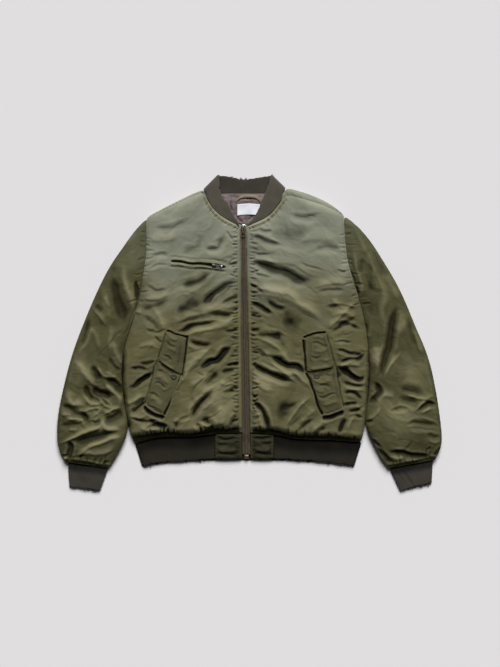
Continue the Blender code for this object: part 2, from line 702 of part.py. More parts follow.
def make_slider(name, place, turn, scale, finish):
    """A slider: plate, tapered wings and the bridge that its pull hangs on. Its mouth is at +Y."""
    s = scale
    plate = outline_plate(name, [(-4.2 * s, -7 * s), (4.2 * s, -7 * s), (6 * s, 1 * s), (5.6 * s, 7 * s),
                                 (2 * s, 8 * s), (-2 * s, 8 * s), (-5.6 * s, 7 * s), (-6 * s, 1 * s)],
                          1.6 * s, finish)
    top = 0.8 * s
    axis = top + SLIDER_AXIS * s
    parts = [loose_box("post_a", (0, 5.2 * s, top + 1.5 * s), (2.6 * s, 1.8 * s, 4.0 * s), finish),
             loose_box("post_b", (0, -5.2 * s, top + 1.5 * s), (2.6 * s, 1.8 * s, 4.0 * s), finish),
             loose_box("beam", (0, 0, axis + 2.1 * s), (2.6 * s, 12.2 * s, 1.2 * s), finish),
             loose_box("wing_a", (-4.7 * s, 1.5 * s, -1.2 * s), (1.0 * s, 9 * s, 1.6 * s), finish),
             loose_box("wing_b", (4.7 * s, 1.5 * s, -1.2 * s), (1.0 * s, 9 * s, 1.6 * s), finish)]
    made = union(plate, parts)
    made.location = Vector(place) * MM
    made.rotation_euler.z = turn
    return made


def make_pull(name, place, turn, scale, length, width, hole, finish):
    """A pull: crossbar on the joint's axis, two arms and a tab with a hole. It lies along -Y."""
    s = scale
    arm_at, arm_wide = 2.9 * s, 1.3 * s
    half = width / 2
    round_end = [(half * math.cos(a), -length + half + half * math.sin(a))
                 for a in (math.pi + math.pi * k / 10 for k in range(11))]
    tab = outline_plate(name, [(-3.2 * s, -7.4 * s), *round_end, (3.2 * s, -7.4 * s)],
                        1.5 * s, finish, [hole])
    parts = [loose_box("arm_a", (-arm_at, -4.2 * s, 0), (arm_wide, 8.4 * s + 1.4 * s, 1.5 * s), finish),
             loose_box("arm_b", (arm_at, -4.2 * s, 0), (arm_wide, 8.4 * s + 1.4 * s, 1.5 * s), finish),
             loose_box("bar", (0, 0, 0), (2 * arm_at + arm_wide * 0.6, 1.3 * s, 1.3 * s), finish),
             loose_box("yoke", (0, -7.9 * s, 0), (2 * arm_at + arm_wide, 1.8 * s, 1.5 * s), finish)]
    made = union(tab, parts)
    made.location = Vector(place) * MM
    made.rotation_euler.z = turn
    return made


# ---------------------------------------------------------------- what lies on the fronts
def lying(name, corners, across, up, thick, height, finish, around=4.0):
    """A cloth piece between four corners that lies on what is below it."""
    a, b, c, d = (Vector(p) for p in corners)
    foot = [d.lerp(c, t) for t in even(across)]
    head = [a.lerp(b, t) for t in even(across)]
    start = [d.lerp(a, t) for t in even(up)]
    end = [c.lerp(b, t) for t in even(up)]
    rows = patch(foot, head, start, end)
    rim = [foot, head, start, end]

    def under(point):
        return height(point.x, point.y, around) + REST_GAP

    def over(point):
        return under(point) + thick * min(swell(gap_to(point, line), 6.0, 0.55) for line in rim)

    return wall(name, rows, under, over, finish)


def make_chest_pocket(front, cloth, teeth, metal):
    a, b = Vector(CHEST_A), Vector(CHEST_B)
    run = (b - a).normalized()
    side = Vector((-run.y, run.x))
    height = top_finder([front])
    for name, sign in (("chest_lip_upper", 1), ("chest_lip_lower", -1)):
        near, far = [], []
        for t in [*even(8)[:6], 0.7, 0.76, 0.82, 0.88, 0.94, 1.0]:
            opened = math.exp(-((t - CHEST_SLIDER_AT - 0.05) / 0.13) ** 2)
            wide = LIP_SLOT + (LIP_SLOT_AT_SLIDER - LIP_SLOT) * opened
            near.append(a.lerp(b, t) + side * sign * wide)
            far.append(a.lerp(b, t) + side * sign * (wide + LIP_REACH - 3.4))
        rows = [near, [p.lerp(q, 0.5) for p, q in zip(near, far)], far]

        def under(point):
            return height(point.x, point.y) + REST_GAP

        def over(point):
            return under(point) + LIP_WALL

        wall(name, rows, under, over, cloth)
    chain_run = [0.03 + (CHEST_SLIDER_AT - 0.09) * k / 10 for k in range(11)]
    rows = [[a.lerp(b, t) + side * k for t in chain_run] for k in (-1.5, 1.5)]
    wall("chest_zip_chain", rows, lambda p: height(p.x, p.y, 3.0) + REST_GAP,
         lambda p: height(p.x, p.y, 3.0) + REST_GAP + 1.6, teeth)
    centre = a.lerp(b, CHEST_SLIDER_AT)
    turn = math.atan2(run.y, run.x) + math.pi / 2
    scale = 0.78
    rest = height(centre.x, centre.y, 7.0) + REST_GAP + 2.0 * scale
    make_slider("chest_slider", (*centre, rest + 0.8 * scale), turn, scale, metal)
    axis = rest + 1.6 * scale + SLIDER_AXIS * scale
    hole = [(-1.3, -17.6), (1.3, -17.6), (1.3, -10.5), (-1.3, -10.5)]
    make_pull("chest_pull", (*centre, axis), turn, scale, 21.0, 6.4, hole, metal)
    print("chest pull axis mm", tuple(round(v, 3) for v in (*centre, axis)), "turn", turn)


def make_main_slider(metal):
    y = ZIP_TOP[1]
    rest = LAY + 0.6 + TEETH_HIGH
    make_slider("zip_slider", (zip_x(y), y, rest + 0.8), 0.0, 1.0, metal)
    axis = rest + 1.6 + SLIDER_AXIS
    make_pull("zip_pull", (zip_x(y), y, axis), 0.0, 1.0, 24.0, 10.5, ring_line((0, -18.6), 2.9), metal)
    print("main pull axis mm", (round(zip_x(y), 3), y, round(axis, 3)))


def make_neck(lining, cloth, woven):
    """The lining that shows in the neck, the hanger loop and the bare label on it."""
    foot = along([(-38, 278), (-13, 271), (12, 278)], even(6))
    head = along([(-72, 341), (-12, 341), (46, 341)], even(6))
    start = along([foot[0], (-66, 318), head[0]], even(6))
    end = along([foot[-1], (40, 318), head[-1]], even(6))
    rows = patch(foot, head, start, end)
    wall("neck_lining", rows, lambda p: LAY, lambda p: LAY + LINING_WALL, lining)
    level = LAY + LINING_WALL + SEAM_GAP

    def arched(name, left, right, low, high, arch, thick, finish):
        rows = []
        for t in even(2):
            y = low + (high - low) * t
            rows.append([Vector((left + (right - left) * u, y - arch * (2 * u - 1) ** 2)) for u in even(6)])
        wall(name, rows, lambda p: level, lambda p: level + thick, finish)

    arched("hanger_loop", -33, 28, 336, 341, 5.0, 1.6, cloth)
    arched("neck_label", -31, 26, 295, 323, 2.5, 0.7, woven)


def make_snap(name, place, height, metal):
    x, y = place
    rest = height(x, y, 7.0) + REST_GAP
    profile = [(0, 2.6), (4.2, 2.5), (6.2, 1.9), (SNAP_RADIUS, 0.7), (SNAP_RADIUS, 0.0), (0, 0.0)]
    turned(name, profile, (x, y, rest), metal)


# ---------------------------------------------------------------- the jacket
for old in list(bpy.data.objects):
    bpy.data.objects.remove(old)
jacket = bpy.data.collections.new("bomber_jacket")
bpy.context.scene.collection.children.link(jacket)

nylon = material("nylon", (0.115, 0.115, 0.052), 0.42, sheen=0.3)
sleeve_nylon = material("sleeve_nylon", (0.085, 0.088, 0.040), 0.42, sheen=0.3)
rib_knit = material("rib_knit", (0.050, 0.045, 0.034), 0.9)
lining_nylon = material("lining", (0.145, 0.098, 0.100), 0.5)
woven_label = material("woven_label", (0.80, 0.80, 0.84), 0.8)
zip_tape = material("zip_tape", (0.090, 0.066, 0.052), 0.85)
brass = material("brass", (0.300, 0.180, 0.085), 0.35, metallic=1.0)
gunmetal = material("gunmetal", (0.300, 0.300, 0.320), 0.28, metallic=1.0)

make_back(nylon)
front_right = make_front("front_right", SIDE_RIGHT, ARMHOLE_RIGHT, FRONT_SHOULDER_RIGHT, NECKLINE_RIGHT,
                         HEM_RIGHT, FOLDS_RIGHT, -1, nylon)
front_left = make_front("front_left", SIDE_LEFT, ARMHOLE_LEFT, FRONT_SHOULDER_LEFT, NECKLINE_LEFT,
                        HEM_LEFT, FOLDS_LEFT, 1, nylon)
make_sleeve("right", SIDE_RIGHT, SLEEVE_RIGHT_IN, SLEEVE_RIGHT_OUT, ARMHOLE_RIGHT, FOLDS_SLEEVE_RIGHT,
            -1, sleeve_nylon)
make_sleeve("left", SIDE_LEFT, SLEEVE_LEFT_IN, SLEEVE_LEFT_OUT, ARMHOLE_LEFT, FOLDS_SLEEVE_LEFT,
            1, sleeve_nylon)
make_hem_rib(rib_knit)
make_cuff("cuff_right", CUFF_RIGHT, rib_knit)
make_cuff("cuff_left", CUFF_LEFT, rib_knit)
make_collar(rib_knit)
make_hem_block("hem_block_right", -88.0, -1, nylon)
make_hem_block("hem_block_left", 61.0, 1, nylon)
make_zip(zip_tape, brass, gunmetal)
make_main_slider(gunmetal)
make_chest_pocket(front_right, nylon, brass, gunmetal)
for side_name, panel, flap, pocket, snap in (("right", front_right, FLAP_RIGHT, PATCH_RIGHT, SNAP_RIGHT),
                                             ("left", front_left, FLAP_LEFT, PATCH_LEFT, SNAP_LEFT)):
    bag = lying(f"pocket_patch_{side_name}", pocket, 5, 7, PATCH_WALL, top_finder([panel]), nylon)
    lying(f"pocket_flap_{side_name}", flap, 5, 6, FLAP_WALL, top_finder([panel, bag]), nylon, 9.0)
    make_snap(f"snap_{side_name}", snap, top_finder([panel, bag]), gunmetal)
make_neck(lining_nylon, nylon, woven_label)
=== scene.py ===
# %% [markdown]
# A padded bomber jacket lies on its back on a pale floor, zipped up, with its sleeves beside it.
# The frame holds its solids: every piece made here takes the place of one of them. Sizes are in
# millimetres, as a cutter would note them, and become metres when a mesh is made.

# %% The frame
import math

import bmesh
import bpy
import numpy as np
from mathutils import Matrix, Vector
from mathutils.bvhtree import BVHTree


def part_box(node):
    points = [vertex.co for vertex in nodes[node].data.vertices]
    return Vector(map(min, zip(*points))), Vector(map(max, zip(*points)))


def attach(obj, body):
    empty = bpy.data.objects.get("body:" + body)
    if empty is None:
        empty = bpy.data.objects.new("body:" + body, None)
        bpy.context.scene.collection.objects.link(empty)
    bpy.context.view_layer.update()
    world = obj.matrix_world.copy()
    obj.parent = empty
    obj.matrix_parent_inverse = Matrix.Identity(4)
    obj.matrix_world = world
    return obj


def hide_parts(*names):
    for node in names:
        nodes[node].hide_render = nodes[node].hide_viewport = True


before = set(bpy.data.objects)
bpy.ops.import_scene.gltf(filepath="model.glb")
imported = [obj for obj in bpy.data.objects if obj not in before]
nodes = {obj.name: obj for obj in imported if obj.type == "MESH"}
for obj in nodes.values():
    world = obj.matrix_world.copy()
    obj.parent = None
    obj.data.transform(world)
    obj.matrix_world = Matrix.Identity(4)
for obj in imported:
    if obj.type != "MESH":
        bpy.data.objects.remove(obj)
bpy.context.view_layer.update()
MM = 0.001

# %% [markdown]
# The cloth is modelled on a fine even net of points, and its folds are moves of those points.
# These helpers read and write a whole net at once, which numpy does far faster than a loop.


# %% Points in and out of a mesh
def read_points(mesh):
    found = np.empty(len(mesh.vertices) * 3)
    mesh.vertices.foreach_get("co", found)
    return found.reshape(-1, 3) / MM


def write_points(mesh, points):
    mesh.vertices.foreach_set("co", (points * MM).ravel())
    mesh.update()


def read_normals(mesh):
    found = np.empty(len(mesh.vertices) * 3)
    mesh.vertex_normals.foreach_get("vector", found)
    return found.reshape(-1, 3)


def write_mask(mesh, name, values):
    mask = mesh.attributes.new(name, "FLOAT", "POINT")
    mask.data.foreach_set("value", values.astype(np.float32))


def soft_step(low, high, values):
    t = np.clip((values - low) / (high - low), 0.0, 1.0)
    return t * t * (3 - 2 * t)


def rumple(x, y, size, seed):
    """Smooth hills and hollows of about this size, from -1 to 1."""
    table = np.random.default_rng(seed).uniform(-1, 1, (61, 61))
    u, v = x / size + 900, y / size + 900
    i, j = np.floor(u).astype(int), np.floor(v).astype(int)
    s, t = soft_step(0, 1, u - i), soft_step(0, 1, v - j)
    low = table[i % 61, j % 61] * (1 - s) + table[(i + 1) % 61, j % 61] * s
    high = table[i % 61, (j + 1) % 61] * (1 - s) + table[(i + 1) % 61, (j + 1) % 61] * s
    return low * (1 - t) + high * t


def only(obj):
    """Makes this object the one that operators act on."""
    bpy.ops.object.select_all(action="DESELECT")
    obj.select_set(True)
    bpy.context.view_layer.objects.active = obj


def apply_all(obj):
    only(obj)
    for modifier in list(obj.modifiers):
        bpy.ops.object.modifier_apply(modifier=modifier.name)


def piece(name, verts, faces, finish, smooth=True):
    mesh = bpy.data.meshes.new(name)
    mesh.from_pydata([tuple(v) for v in np.asarray(verts, float) * MM], [], faces)
    mesh.update()
    if smooth:
        mesh.shade_smooth()
    mesh.materials.append(finish)
    made = bpy.data.objects.new(name, mesh)
    bpy.context.scene.collection.objects.link(made)
    return made


def settle(obj, body, slot, *replaced):
    """The piece moves with that body and stands for those solids; the slot is not used."""
    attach(obj, body)
    if replaced:
        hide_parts(*replaced)


# %% [markdown]
# A padded panel starts as a copy of its solid. Its facets are smoothed by a subdivision surface,
# and a voxel remesh then lays an even net over it, fine enough to carry a crease 5 mm wide. Both
# draw its rim in a little, so the rim is let out again to meet its neighbours at the seams.


# %% Cloth from a solid
CELL = 2.1


def cloth_from(node, name, finish, cell, rounds=2, smoothing=5, grow=2.2):
    mesh = nodes[node].data.copy()
    mesh.name = name
    mesh.materials.clear()
    mesh.materials.append(finish)
    made = bpy.data.objects.new(name, mesh)
    bpy.context.scene.collection.objects.link(made)
    shape = bmesh.new()
    shape.from_mesh(mesh)
    bmesh.ops.remove_doubles(shape, verts=shape.verts, dist=2e-5)
    bmesh.ops.join_triangles(shape, faces=shape.faces, angle_face_threshold=math.radians(40),
                             angle_shape_threshold=math.radians(60))
    for edge in shape.edges:
        edge.smooth = True
    shape.to_mesh(mesh)
    shape.free()
    rounding = made.modifiers.new("round", "SUBSURF")
    rounding.levels = rounding.render_levels = rounds
    net = made.modifiers.new("net", "REMESH")
    net.mode = "VOXEL"
    net.voxel_size = cell * MM
    net.use_smooth_shade = True
    calm = made.modifiers.new("calm", "SMOOTH")
    calm.factor = 0.5
    calm.iterations = smoothing
    apply_all(made)
    points, normals = read_points(mesh), read_normals(mesh)
    points[:, :2] += normals[:, :2] * grow
    write_points(mesh, points)
    mesh.shade_smooth()
    return made


# %% [markdown]
# A crease is a line with a half width and a height: below zero it is a trough, above it a ridge.
# Cloth that slides down over itself folds with a gentle slope above and a steep one below, so
# the two flanks differ. The height dies away at the ends, and the line wavers a little.


# %% Creases
def smooth_line(points, steps=7):
    p = np.array(points, float)
    p = np.vstack([2 * p[0] - p[1], p, 2 * p[-1] - p[-2]])
    t = (np.arange(steps) / steps)[:, None]
    runs = [0.5 * (2 * b + (c - a) * t + (2 * a - 5 * b + 4 * c - d) * t ** 2
                   + (3 * b - a - 3 * c + d) * t ** 3)
            for a, b, c, d in zip(p, p[1:], p[2:], p[3:])]
    return np.vstack([*runs, p[-2]])


def near_line(x, y, line):
    """Distance to a line, how far it is to the side that faces the neck (-1 to 1), and the share along it."""
    best = np.full(x.shape, 1e9)
    side, share = np.zeros_like(x), np.zeros_like(x)
    lengths = np.hypot(*np.diff(line, axis=0).T)
    walked = np.concatenate([[0], np.cumsum(lengths)])
    for (ax, ay), (bx, by), start, length in zip(line, line[1:], walked, lengths):
        if length < 1e-6:
            continue
        t = np.clip(((x - ax) * (bx - ax) + (y - ay) * (by - ay)) / length ** 2, 0, 1)
        dx, dy = x - ax - t * (bx - ax), y - ay - t * (by - ay)
        gap = np.hypot(dx, dy)
        closer = gap < best
        best = np.where(closer, gap, best)
        side = np.where(closer, dy / (gap + 1e-6), side)
        share = np.where(closer, (start + t * length) / walked[-1], share)
    return best, side, share


def crease_height(x, y, creases, fade=0.3):
    total = np.zeros_like(x)
    wx = x + 2.2 * rumple(x, y, 31, 5) + 0.9 * rumple(x, y, 12, 6)
    wy = y + 2.2 * rumple(x, y, 29, 7) + 0.9 * rumple(x, y, 11, 8)
    for width, height, *line in creases:
        path = smooth_line(line)
        reach = 3.4 * width + 4
        low, high = path.min(0) - reach, path.max(0) + reach
        at = np.flatnonzero((wx > low[0]) & (wx < high[0]) & (wy > low[1]) & (wy < high[1]))
        if not len(at):
            continue
        gap, side, share = near_line(wx[at], wy[at], path)
        ends = soft_step(0, fade, np.minimum(share, 1 - share) + 0.02)
        grown = width * (0.6 + 0.4 * ends)
        if height < 0:
            s = gap / (grown * (1 - 0.3 * side))
            shape = np.exp(-1.1 * s ** 1.7) - 0.24 * np.exp(-((s - 2.1) / 0.75) ** 2)
        else:
            s = gap / (grown * (1 + 0.38 * side))
            shape = np.exp(-0.9 * s ** 1.8)
        total[at] += height * ends * shape
    return total


def swell_height(x, y, swells):
    """Soft mounds: x, y, radius, height."""
    total = np.zeros_like(x)
    for cx, cy, radius, height in swells:
        total += height * np.exp(-((x - cx) ** 2 + (y - cy) ** 2) / radius ** 2)
    return total


def inside(x, y, corners, soft):
    """1 inside a four-sided place and 0 outside, with an edge this soft. Corners go clockwise."""
    least = np.full(x.shape, 1e9)
    for (ax, ay), (bx, by) in zip(corners, corners[1:] + corners[:1]):
        length = math.hypot(bx - ax, by - ay)
        least = np.minimum(least, ((by - ay) * (x - ax) - (bx - ax) * (y - ay)) / length)
    return soft_step(-soft, 0, least)

# %% [markdown]
# Every cloth needs the same three things: a weave too fine to model, small crinkles, and colour
# with a painted highlight on the crowns of its folds and painted shade in the troughs. They are
# shader groups, built once. A group puts out colours and values, and each material feeds them to
# its own Principled shader.


# %% Shader groups
def new_group(name, inputs, outputs):
    group = bpy.data.node_groups.new(name, "ShaderNodeTree")
    for label, kind, value in inputs:
        socket = group.interface.new_socket(label, in_out="INPUT", socket_type=kind)
        socket.default_value = value
    for label, kind in outputs:
        group.interface.new_socket(label, in_out="OUTPUT", socket_type=kind)
    return group, group.nodes.new("NodeGroupInput"), group.nodes.new("NodeGroupOutput")


def add(tree, kind, links=(), **settings):
    """A node with its settings, where each link joins one of its inputs to an output."""
    node = tree.nodes.new(kind)
    for label, value in settings.items():
        setattr(node, label, value)
    for label, value in dict(links).items():
        if hasattr(value, "is_output"):
            tree.links.new(value, node.inputs[label])
        else:
            node.inputs[label].default_value = value
    return node


def maths(tree, operation, a, b=0.0, clamp=False):
    node = add(tree, "ShaderNodeMath", {0: a, 1: b}, operation=operation)
    node.use_clamp = clamp
    return node.outputs[0]


def mix(tree, share, a, b, blend="MIX"):
    node = tree.nodes.new("ShaderNodeMix")
    node.data_type = "RGBA"
    node.blend_type = blend
    for label, value in ((0, share), (6, a), (7, b)):
        if hasattr(value, "is_output"):
            tree.links.new(value, node.inputs[label])
        else:
            node.inputs[label].default_value = value
    return node.outputs[2]


def spread(tree, value, low, high, to_low=0.0, to_high=1.0):
    node = add(tree, "ShaderNodeMapRange", {0: value, 1: low, 2: high, 3: to_low, 4: to_high})
    return node.outputs[0]


def noise(tree, place, scale, detail=3.0, roughness=0.55):
    return add(tree, "ShaderNodeTexNoise", {"Vector": place, "Scale": scale, "Detail": detail,
                                            "Roughness": roughness}).outputs[0]


COLOUR, VALUE = "NodeSocketColor", "NodeSocketFloat"
weave, given, put = new_group(
    "satin_weave",
    [("Upper", COLOUR, (1, 1, 1, 1)), ("Lower", COLOUR, (1, 1, 1, 1)), ("Fade from", VALUE, 0.10),
     ("Fade to", VALUE, 0.27), ("Pitch", VALUE, 0.9), ("Lean", VALUE, 0.55), ("Crest highlight", VALUE, 0.46),
     ("Hollow shade", VALUE, 1.0)],
    [("Colour", COLOUR), ("Roughness", VALUE), ("Height", VALUE)])
place = add(weave, "ShaderNodeTexCoord").outputs["Object"]
axes = add(weave, "ShaderNodeSeparateXYZ", {0: place})
fold = add(weave, "ShaderNodeAttribute", attribute_name="fold").outputs["Fac"]
drift = noise(weave, place, 9.0, 2.0)

# Satin pulls into long fine streaks that run down and away from the zip on both sides. They are a painted
# sheen, long lighter and darker bands in the colour, and a faint bump.
lean = given.outputs["Lean"]
outward = maths(weave, "ABSOLUTE", axes.outputs["X"])
lean_sin, lean_cos = maths(weave, "SINE", lean), maths(weave, "COSINE", lean)
along = maths(weave, "SUBTRACT", maths(weave, "MULTIPLY", outward, lean_cos),
              maths(weave, "MULTIPLY", axes.outputs["Y"], lean_sin))
across = maths(weave, "ADD", maths(weave, "MULTIPLY", outward, lean_sin),
               maths(weave, "MULTIPLY", axes.outputs["Y"], lean_cos))
wander = spread(weave, noise(weave, place, 14.0, 2.0), 0.3, 0.7, -0.018, 0.018)
streaks = add(weave, "ShaderNodeCombineXYZ", {0: maths(weave, "MULTIPLY", along, 0.3),
                                              1: maths(weave, "ADD", across, wander), 2: axes.outputs["Z"]})
streaks = streaks.outputs[0]
# Painted sheen: toward the collar the colour goes from Lower to the paler Upper, where the key light glances
# off the cloth; the line between them wavers a little.
level = maths(weave, "ADD", axes.outputs["Y"], spread(weave, drift, 0.3, 0.7, -0.05, 0.05))
fade = add(weave, "ShaderNodeMapRange",
           {0: level, 1: given.outputs["Fade from"], 2: given.outputs["Fade to"]},
           interpolation_type="SMOOTHSTEP")
body = mix(weave, fade.outputs[0], given.outputs["Lower"], given.outputs["Upper"])
# Painted sheen: along the streaks the colour is made lighter and darker in long bands.
painted_sheen_bands = spread(weave, noise(weave, streaks, 27.0, 3.0, 0.55), 0.3, 0.7, 0.78, 1.16)
painted_sheen_grey = add(weave, "ShaderNodeCombineColor", {0: painted_sheen_bands, 1: painted_sheen_bands, 2: painted_sheen_bands}).outputs[0]
body = mix(weave, 1.0, body, painted_sheen_grey, "MULTIPLY")
# Painted highlight: the crowns of the folds are made paler, in a tint of the yarn.
crest_highlight = maths(weave, "MULTIPLY", spread(weave, fold, 0.1, 0.9), given.outputs["Crest highlight"])
body = mix(weave, crest_highlight, body, (0.31, 0.285, 0.165, 1))
# Painted shade: the hollows of the folds go nearly black, a little less toward the collar.
deep = maths(weave, "MULTIPLY", spread(weave, fold, -0.09, -0.62, 0.0, 0.97),
             spread(weave, fade.outputs[0], 0.0, 1.0, 1.0, 0.68))
deep = maths(weave, "MULTIPLY", deep, given.outputs["Hollow shade"])
body = mix(weave, deep, body, (0.007, 0.007, 0.003, 1))
weave.links.new(body, put.inputs["Colour"])
sheen_drift = spread(weave, noise(weave, place, 21.0, 3.0), 0.3, 0.7, 0.46, 0.58)
weave.links.new(sheen_drift, put.inputs["Roughness"])
lines = maths(weave, "MULTIPLY", given.outputs["Pitch"], 0.001)
slant = maths(weave, "ADD", axes.outputs["X"], maths(weave, "MULTIPLY", axes.outputs["Y"], 0.55))
twill = maths(weave, "SINE", maths(weave, "DIVIDE", maths(weave, "MULTIPLY", slant, 6.283), lines))
crinkle = noise(weave, place, 62.0, 5.0, 0.62)
soft = noise(weave, streaks, 34.0, 3.0, 0.5)
height = maths(weave, "ADD", maths(weave, "MULTIPLY", twill, 0.012), maths(weave, "MULTIPLY", crinkle, 0.42))
height = maths(weave, "ADD", height, maths(weave, "MULTIPLY", soft, 2.6))
weave.links.new(height, put.inputs["Height"])

knit, given, put = new_group(
    "rib_knit",
    [("Yarn", COLOUR, (1, 1, 1, 1)), ("Groove shade", COLOUR, (0, 0, 0, 1)), ("Loop", VALUE, 1.7),
     ("Shade to", VALUE, 0.0)],
    [("Colour", COLOUR), ("Roughness", VALUE), ("Height", VALUE)])
place = add(knit, "ShaderNodeTexCoord").outputs["Object"]
rib = add(knit, "ShaderNodeAttribute", attribute_name="rib").outputs["Fac"]
across = add(knit, "ShaderNodeAttribute", attribute_name="across").outputs["Fac"]
fuzz = noise(knit, place, 900.0, 3.0, 0.7)
patchy = noise(knit, place, 26.0, 3.0)
# Painted shade: between the ribs, and where the band rounds over at its free edge, the colour goes to the
# darker Groove colour.
body = mix(knit, spread(knit, rib, 0.05, 0.75), given.outputs["Groove shade"], given.outputs["Yarn"])
body = mix(knit, spread(knit, fuzz, 0.45, 0.8, 0.0, 0.30), body, (0.11, 0.10, 0.08, 1))
body = mix(knit, spread(knit, patchy, 0.35, 0.7, 0.0, 0.30), body, (0.014, 0.012, 0.009, 1))
# Painted shadow: from its seam out to Shade to, unevenly, the band goes nearly black, where the shell's edge
# overhangs it.
start = maths(knit, "MULTIPLY", given.outputs["Shade to"], 0.36)
under = add(knit, "ShaderNodeMapRange", {0: across, 1: start, 2: given.outputs["Shade to"], 3: 0.95, 4: 0.0},
            interpolation_type="SMOOTHSTEP").outputs[0]
uneven = spread(knit, noise(knit, place, 17.0, 2.0), 0.3, 0.7, 0.8, 1.2)
under = maths(knit, "MULTIPLY", under, uneven, clamp=True)
shaded = maths(knit, "MULTIPLY", under, maths(knit, "GREATER_THAN", given.outputs["Shade to"], 0.5))
body = mix(knit, shaded, body, (0.004, 0.004, 0.003, 1))
depth_axes = add(knit, "ShaderNodeSeparateXYZ", {0: place})
# Painted shade: what lies low, such as the back of the collar and the lower layer of each band, is painted
# darker.
low_layer_shade = spread(knit, depth_axes.outputs["Z"], 0.006, 0.013, 0.5, 0.0)
body = mix(knit, low_layer_shade, body, (0.008, 0.007, 0.005, 1))
knit.links.new(body, put.inputs["Colour"])
knit.links.new(spread(knit, fuzz, 0.3, 0.7, 0.82, 0.97), put.inputs["Roughness"])
turns = maths(knit, "DIVIDE", maths(knit, "MULTIPLY", across, 6.283), given.outputs["Loop"])
loops = maths(knit, "SINE", turns)
height = maths(knit, "ADD", maths(knit, "MULTIPLY", loops, 0.10), maths(knit, "MULTIPLY", fuzz, 0.30))
knit.links.new(height, put.inputs["Height"])

tarnish, given, put = new_group(
    "worn_metal",
    [("Clean", COLOUR, (1, 1, 1, 1)), ("Dull", COLOUR, (0, 0, 0, 1)), ("Polish", VALUE, 0.25)],
    [("Colour", COLOUR), ("Roughness", VALUE), ("Height", VALUE)])
place = add(tarnish, "ShaderNodeTexCoord").outputs["Object"]
cloudy = noise(tarnish, place, 420.0, 4.0, 0.6)
scratch_place = add(tarnish, "ShaderNodeMapping", {"Vector": place, "Scale": (1.0, 9.0, 1.0)}).outputs[0]
scratch = noise(tarnish, scratch_place, 700.0, 2.0)
tarnish.links.new(mix(tarnish, spread(tarnish, cloudy, 0.35, 0.72), given.outputs["Clean"],
                      given.outputs["Dull"]), put.inputs["Colour"])
dulled = spread(tarnish, cloudy, 0.3, 0.7, 0.0, 0.22)
tarnish.links.new(maths(tarnish, "ADD", given.outputs["Polish"], dulled),
                  put.inputs["Roughness"])
tarnish.links.new(maths(tarnish, "MULTIPLY", scratch, 0.05), put.inputs["Height"])
print("shader groups:", [g.name for g in bpy.data.node_groups])

# %% [markdown]
# The nylon is a satin, whose long floats of yarn lie one way. The crowns of its folds get a painted
# highlight in a tint of the yarn, and its hollows painted shade that goes nearly black: both are laid
# on by the fold mask, so they don't move with the light. Toward the collar the nylon is painted a
# paler sage, a painted sheen of the key light. The specular is low, or the cloth would turn white
# wherever it is seen from along the floor.


# %% Materials
def material(name, group, values, depth=0.0004, metallic=0.0, specular=0.5, tint=(1, 1, 1, 1),
             sheen=0.0, sheen_tint=(1, 1, 1, 1), sheen_rough=0.5):
    made = bpy.data.materials.new(name)
    made.use_nodes = True
    tree = made.node_tree
    shader = tree.nodes["Principled BSDF"]
    pattern = tree.nodes.new("ShaderNodeGroup")
    pattern.node_tree = group
    for label, value in values.items():
        pattern.inputs[label].default_value = value
    bump = tree.nodes.new("ShaderNodeBump")
    bump.inputs["Distance"].default_value = depth
    bump.inputs["Strength"].default_value = 1.0
    tree.links.new(pattern.outputs["Colour"], shader.inputs["Base Color"])
    tree.links.new(pattern.outputs["Roughness"], shader.inputs["Roughness"])
    tree.links.new(pattern.outputs["Height"], bump.inputs["Height"])
    tree.links.new(bump.outputs["Normal"], shader.inputs["Normal"])
    shader.inputs["Metallic"].default_value = metallic
    shader.inputs["Specular IOR Level"].default_value = specular
    shader.inputs["Specular Tint"].default_value = tint
    shader.inputs["Sheen Weight"].default_value = sheen
    shader.inputs["Sheen Tint"].default_value = sheen_tint
    shader.inputs["Sheen Roughness"].default_value = sheen_rough
    return made


# In each cloth here whose Upper and Lower colours differ, the paler Upper one, used toward the collar, is a
# painted sheen of the key light glancing off the cloth there.
PAINTED_SAGE_SHEEN = (0.240, 0.250, 0.188, 1)
OLIVE = (0.110, 0.103, 0.050, 1)
POCKET_OLIVE = (0.087, 0.081, 0.040, 1)
YARN_GLINT = (1.0, 0.94, 0.72, 1)
body_nylon = material("body_nylon", weave,
                      {"Upper": PAINTED_SAGE_SHEEN, "Lower": OLIVE, "Fade from": 0.01, "Fade to": 0.27},
                      depth=0.0016, specular=0.07, tint=YARN_GLINT)
arm_nylon = material("arm_nylon", weave, {"Upper": (0.106, 0.108, 0.062, 1),
                                          "Lower": (0.074, 0.071, 0.032, 1),
                                          "Fade from": 0.10, "Fade to": 0.30, "Hollow shade": 0.72},
                     depth=0.0016, specular=0.06, tint=YARN_GLINT)
pocket_nylon = material("pocket_nylon", weave, {"Upper": POCKET_OLIVE, "Lower": POCKET_OLIVE},
                        depth=0.0016, specular=0.07, tint=YARN_GLINT)
# The hem blocks are the nylon painted far darker, with weaker painted highlights: painted shade, for they lie
# under the shell's edge.
shaded_block_nylon = material("shaded_block_nylon", weave, {"Upper": (0.025, 0.024, 0.012, 1),
                                              "Lower": (0.022, 0.021, 0.010, 1), "Crest highlight": 0.14},
                       depth=0.0012, specular=0.08, tint=YARN_GLINT)
collar_knit = material("collar_knit", knit, {"Yarn": (0.100, 0.089, 0.066, 1),
                                             "Groove shade": (0.034, 0.030, 0.022, 1)},
                       depth=0.0006, specular=0.2, sheen=0.3, sheen_tint=(0.9, 0.87, 0.8, 1))
cuff_knit = material("cuff_knit", knit, {"Yarn": (0.064, 0.056, 0.045, 1), "Groove shade": (0.018, 0.016, 0.012, 1),
                                         "Shade to": 26.0},
                     depth=0.0006, specular=0.2, sheen=0.25, sheen_tint=(0.9, 0.87, 0.8, 1))
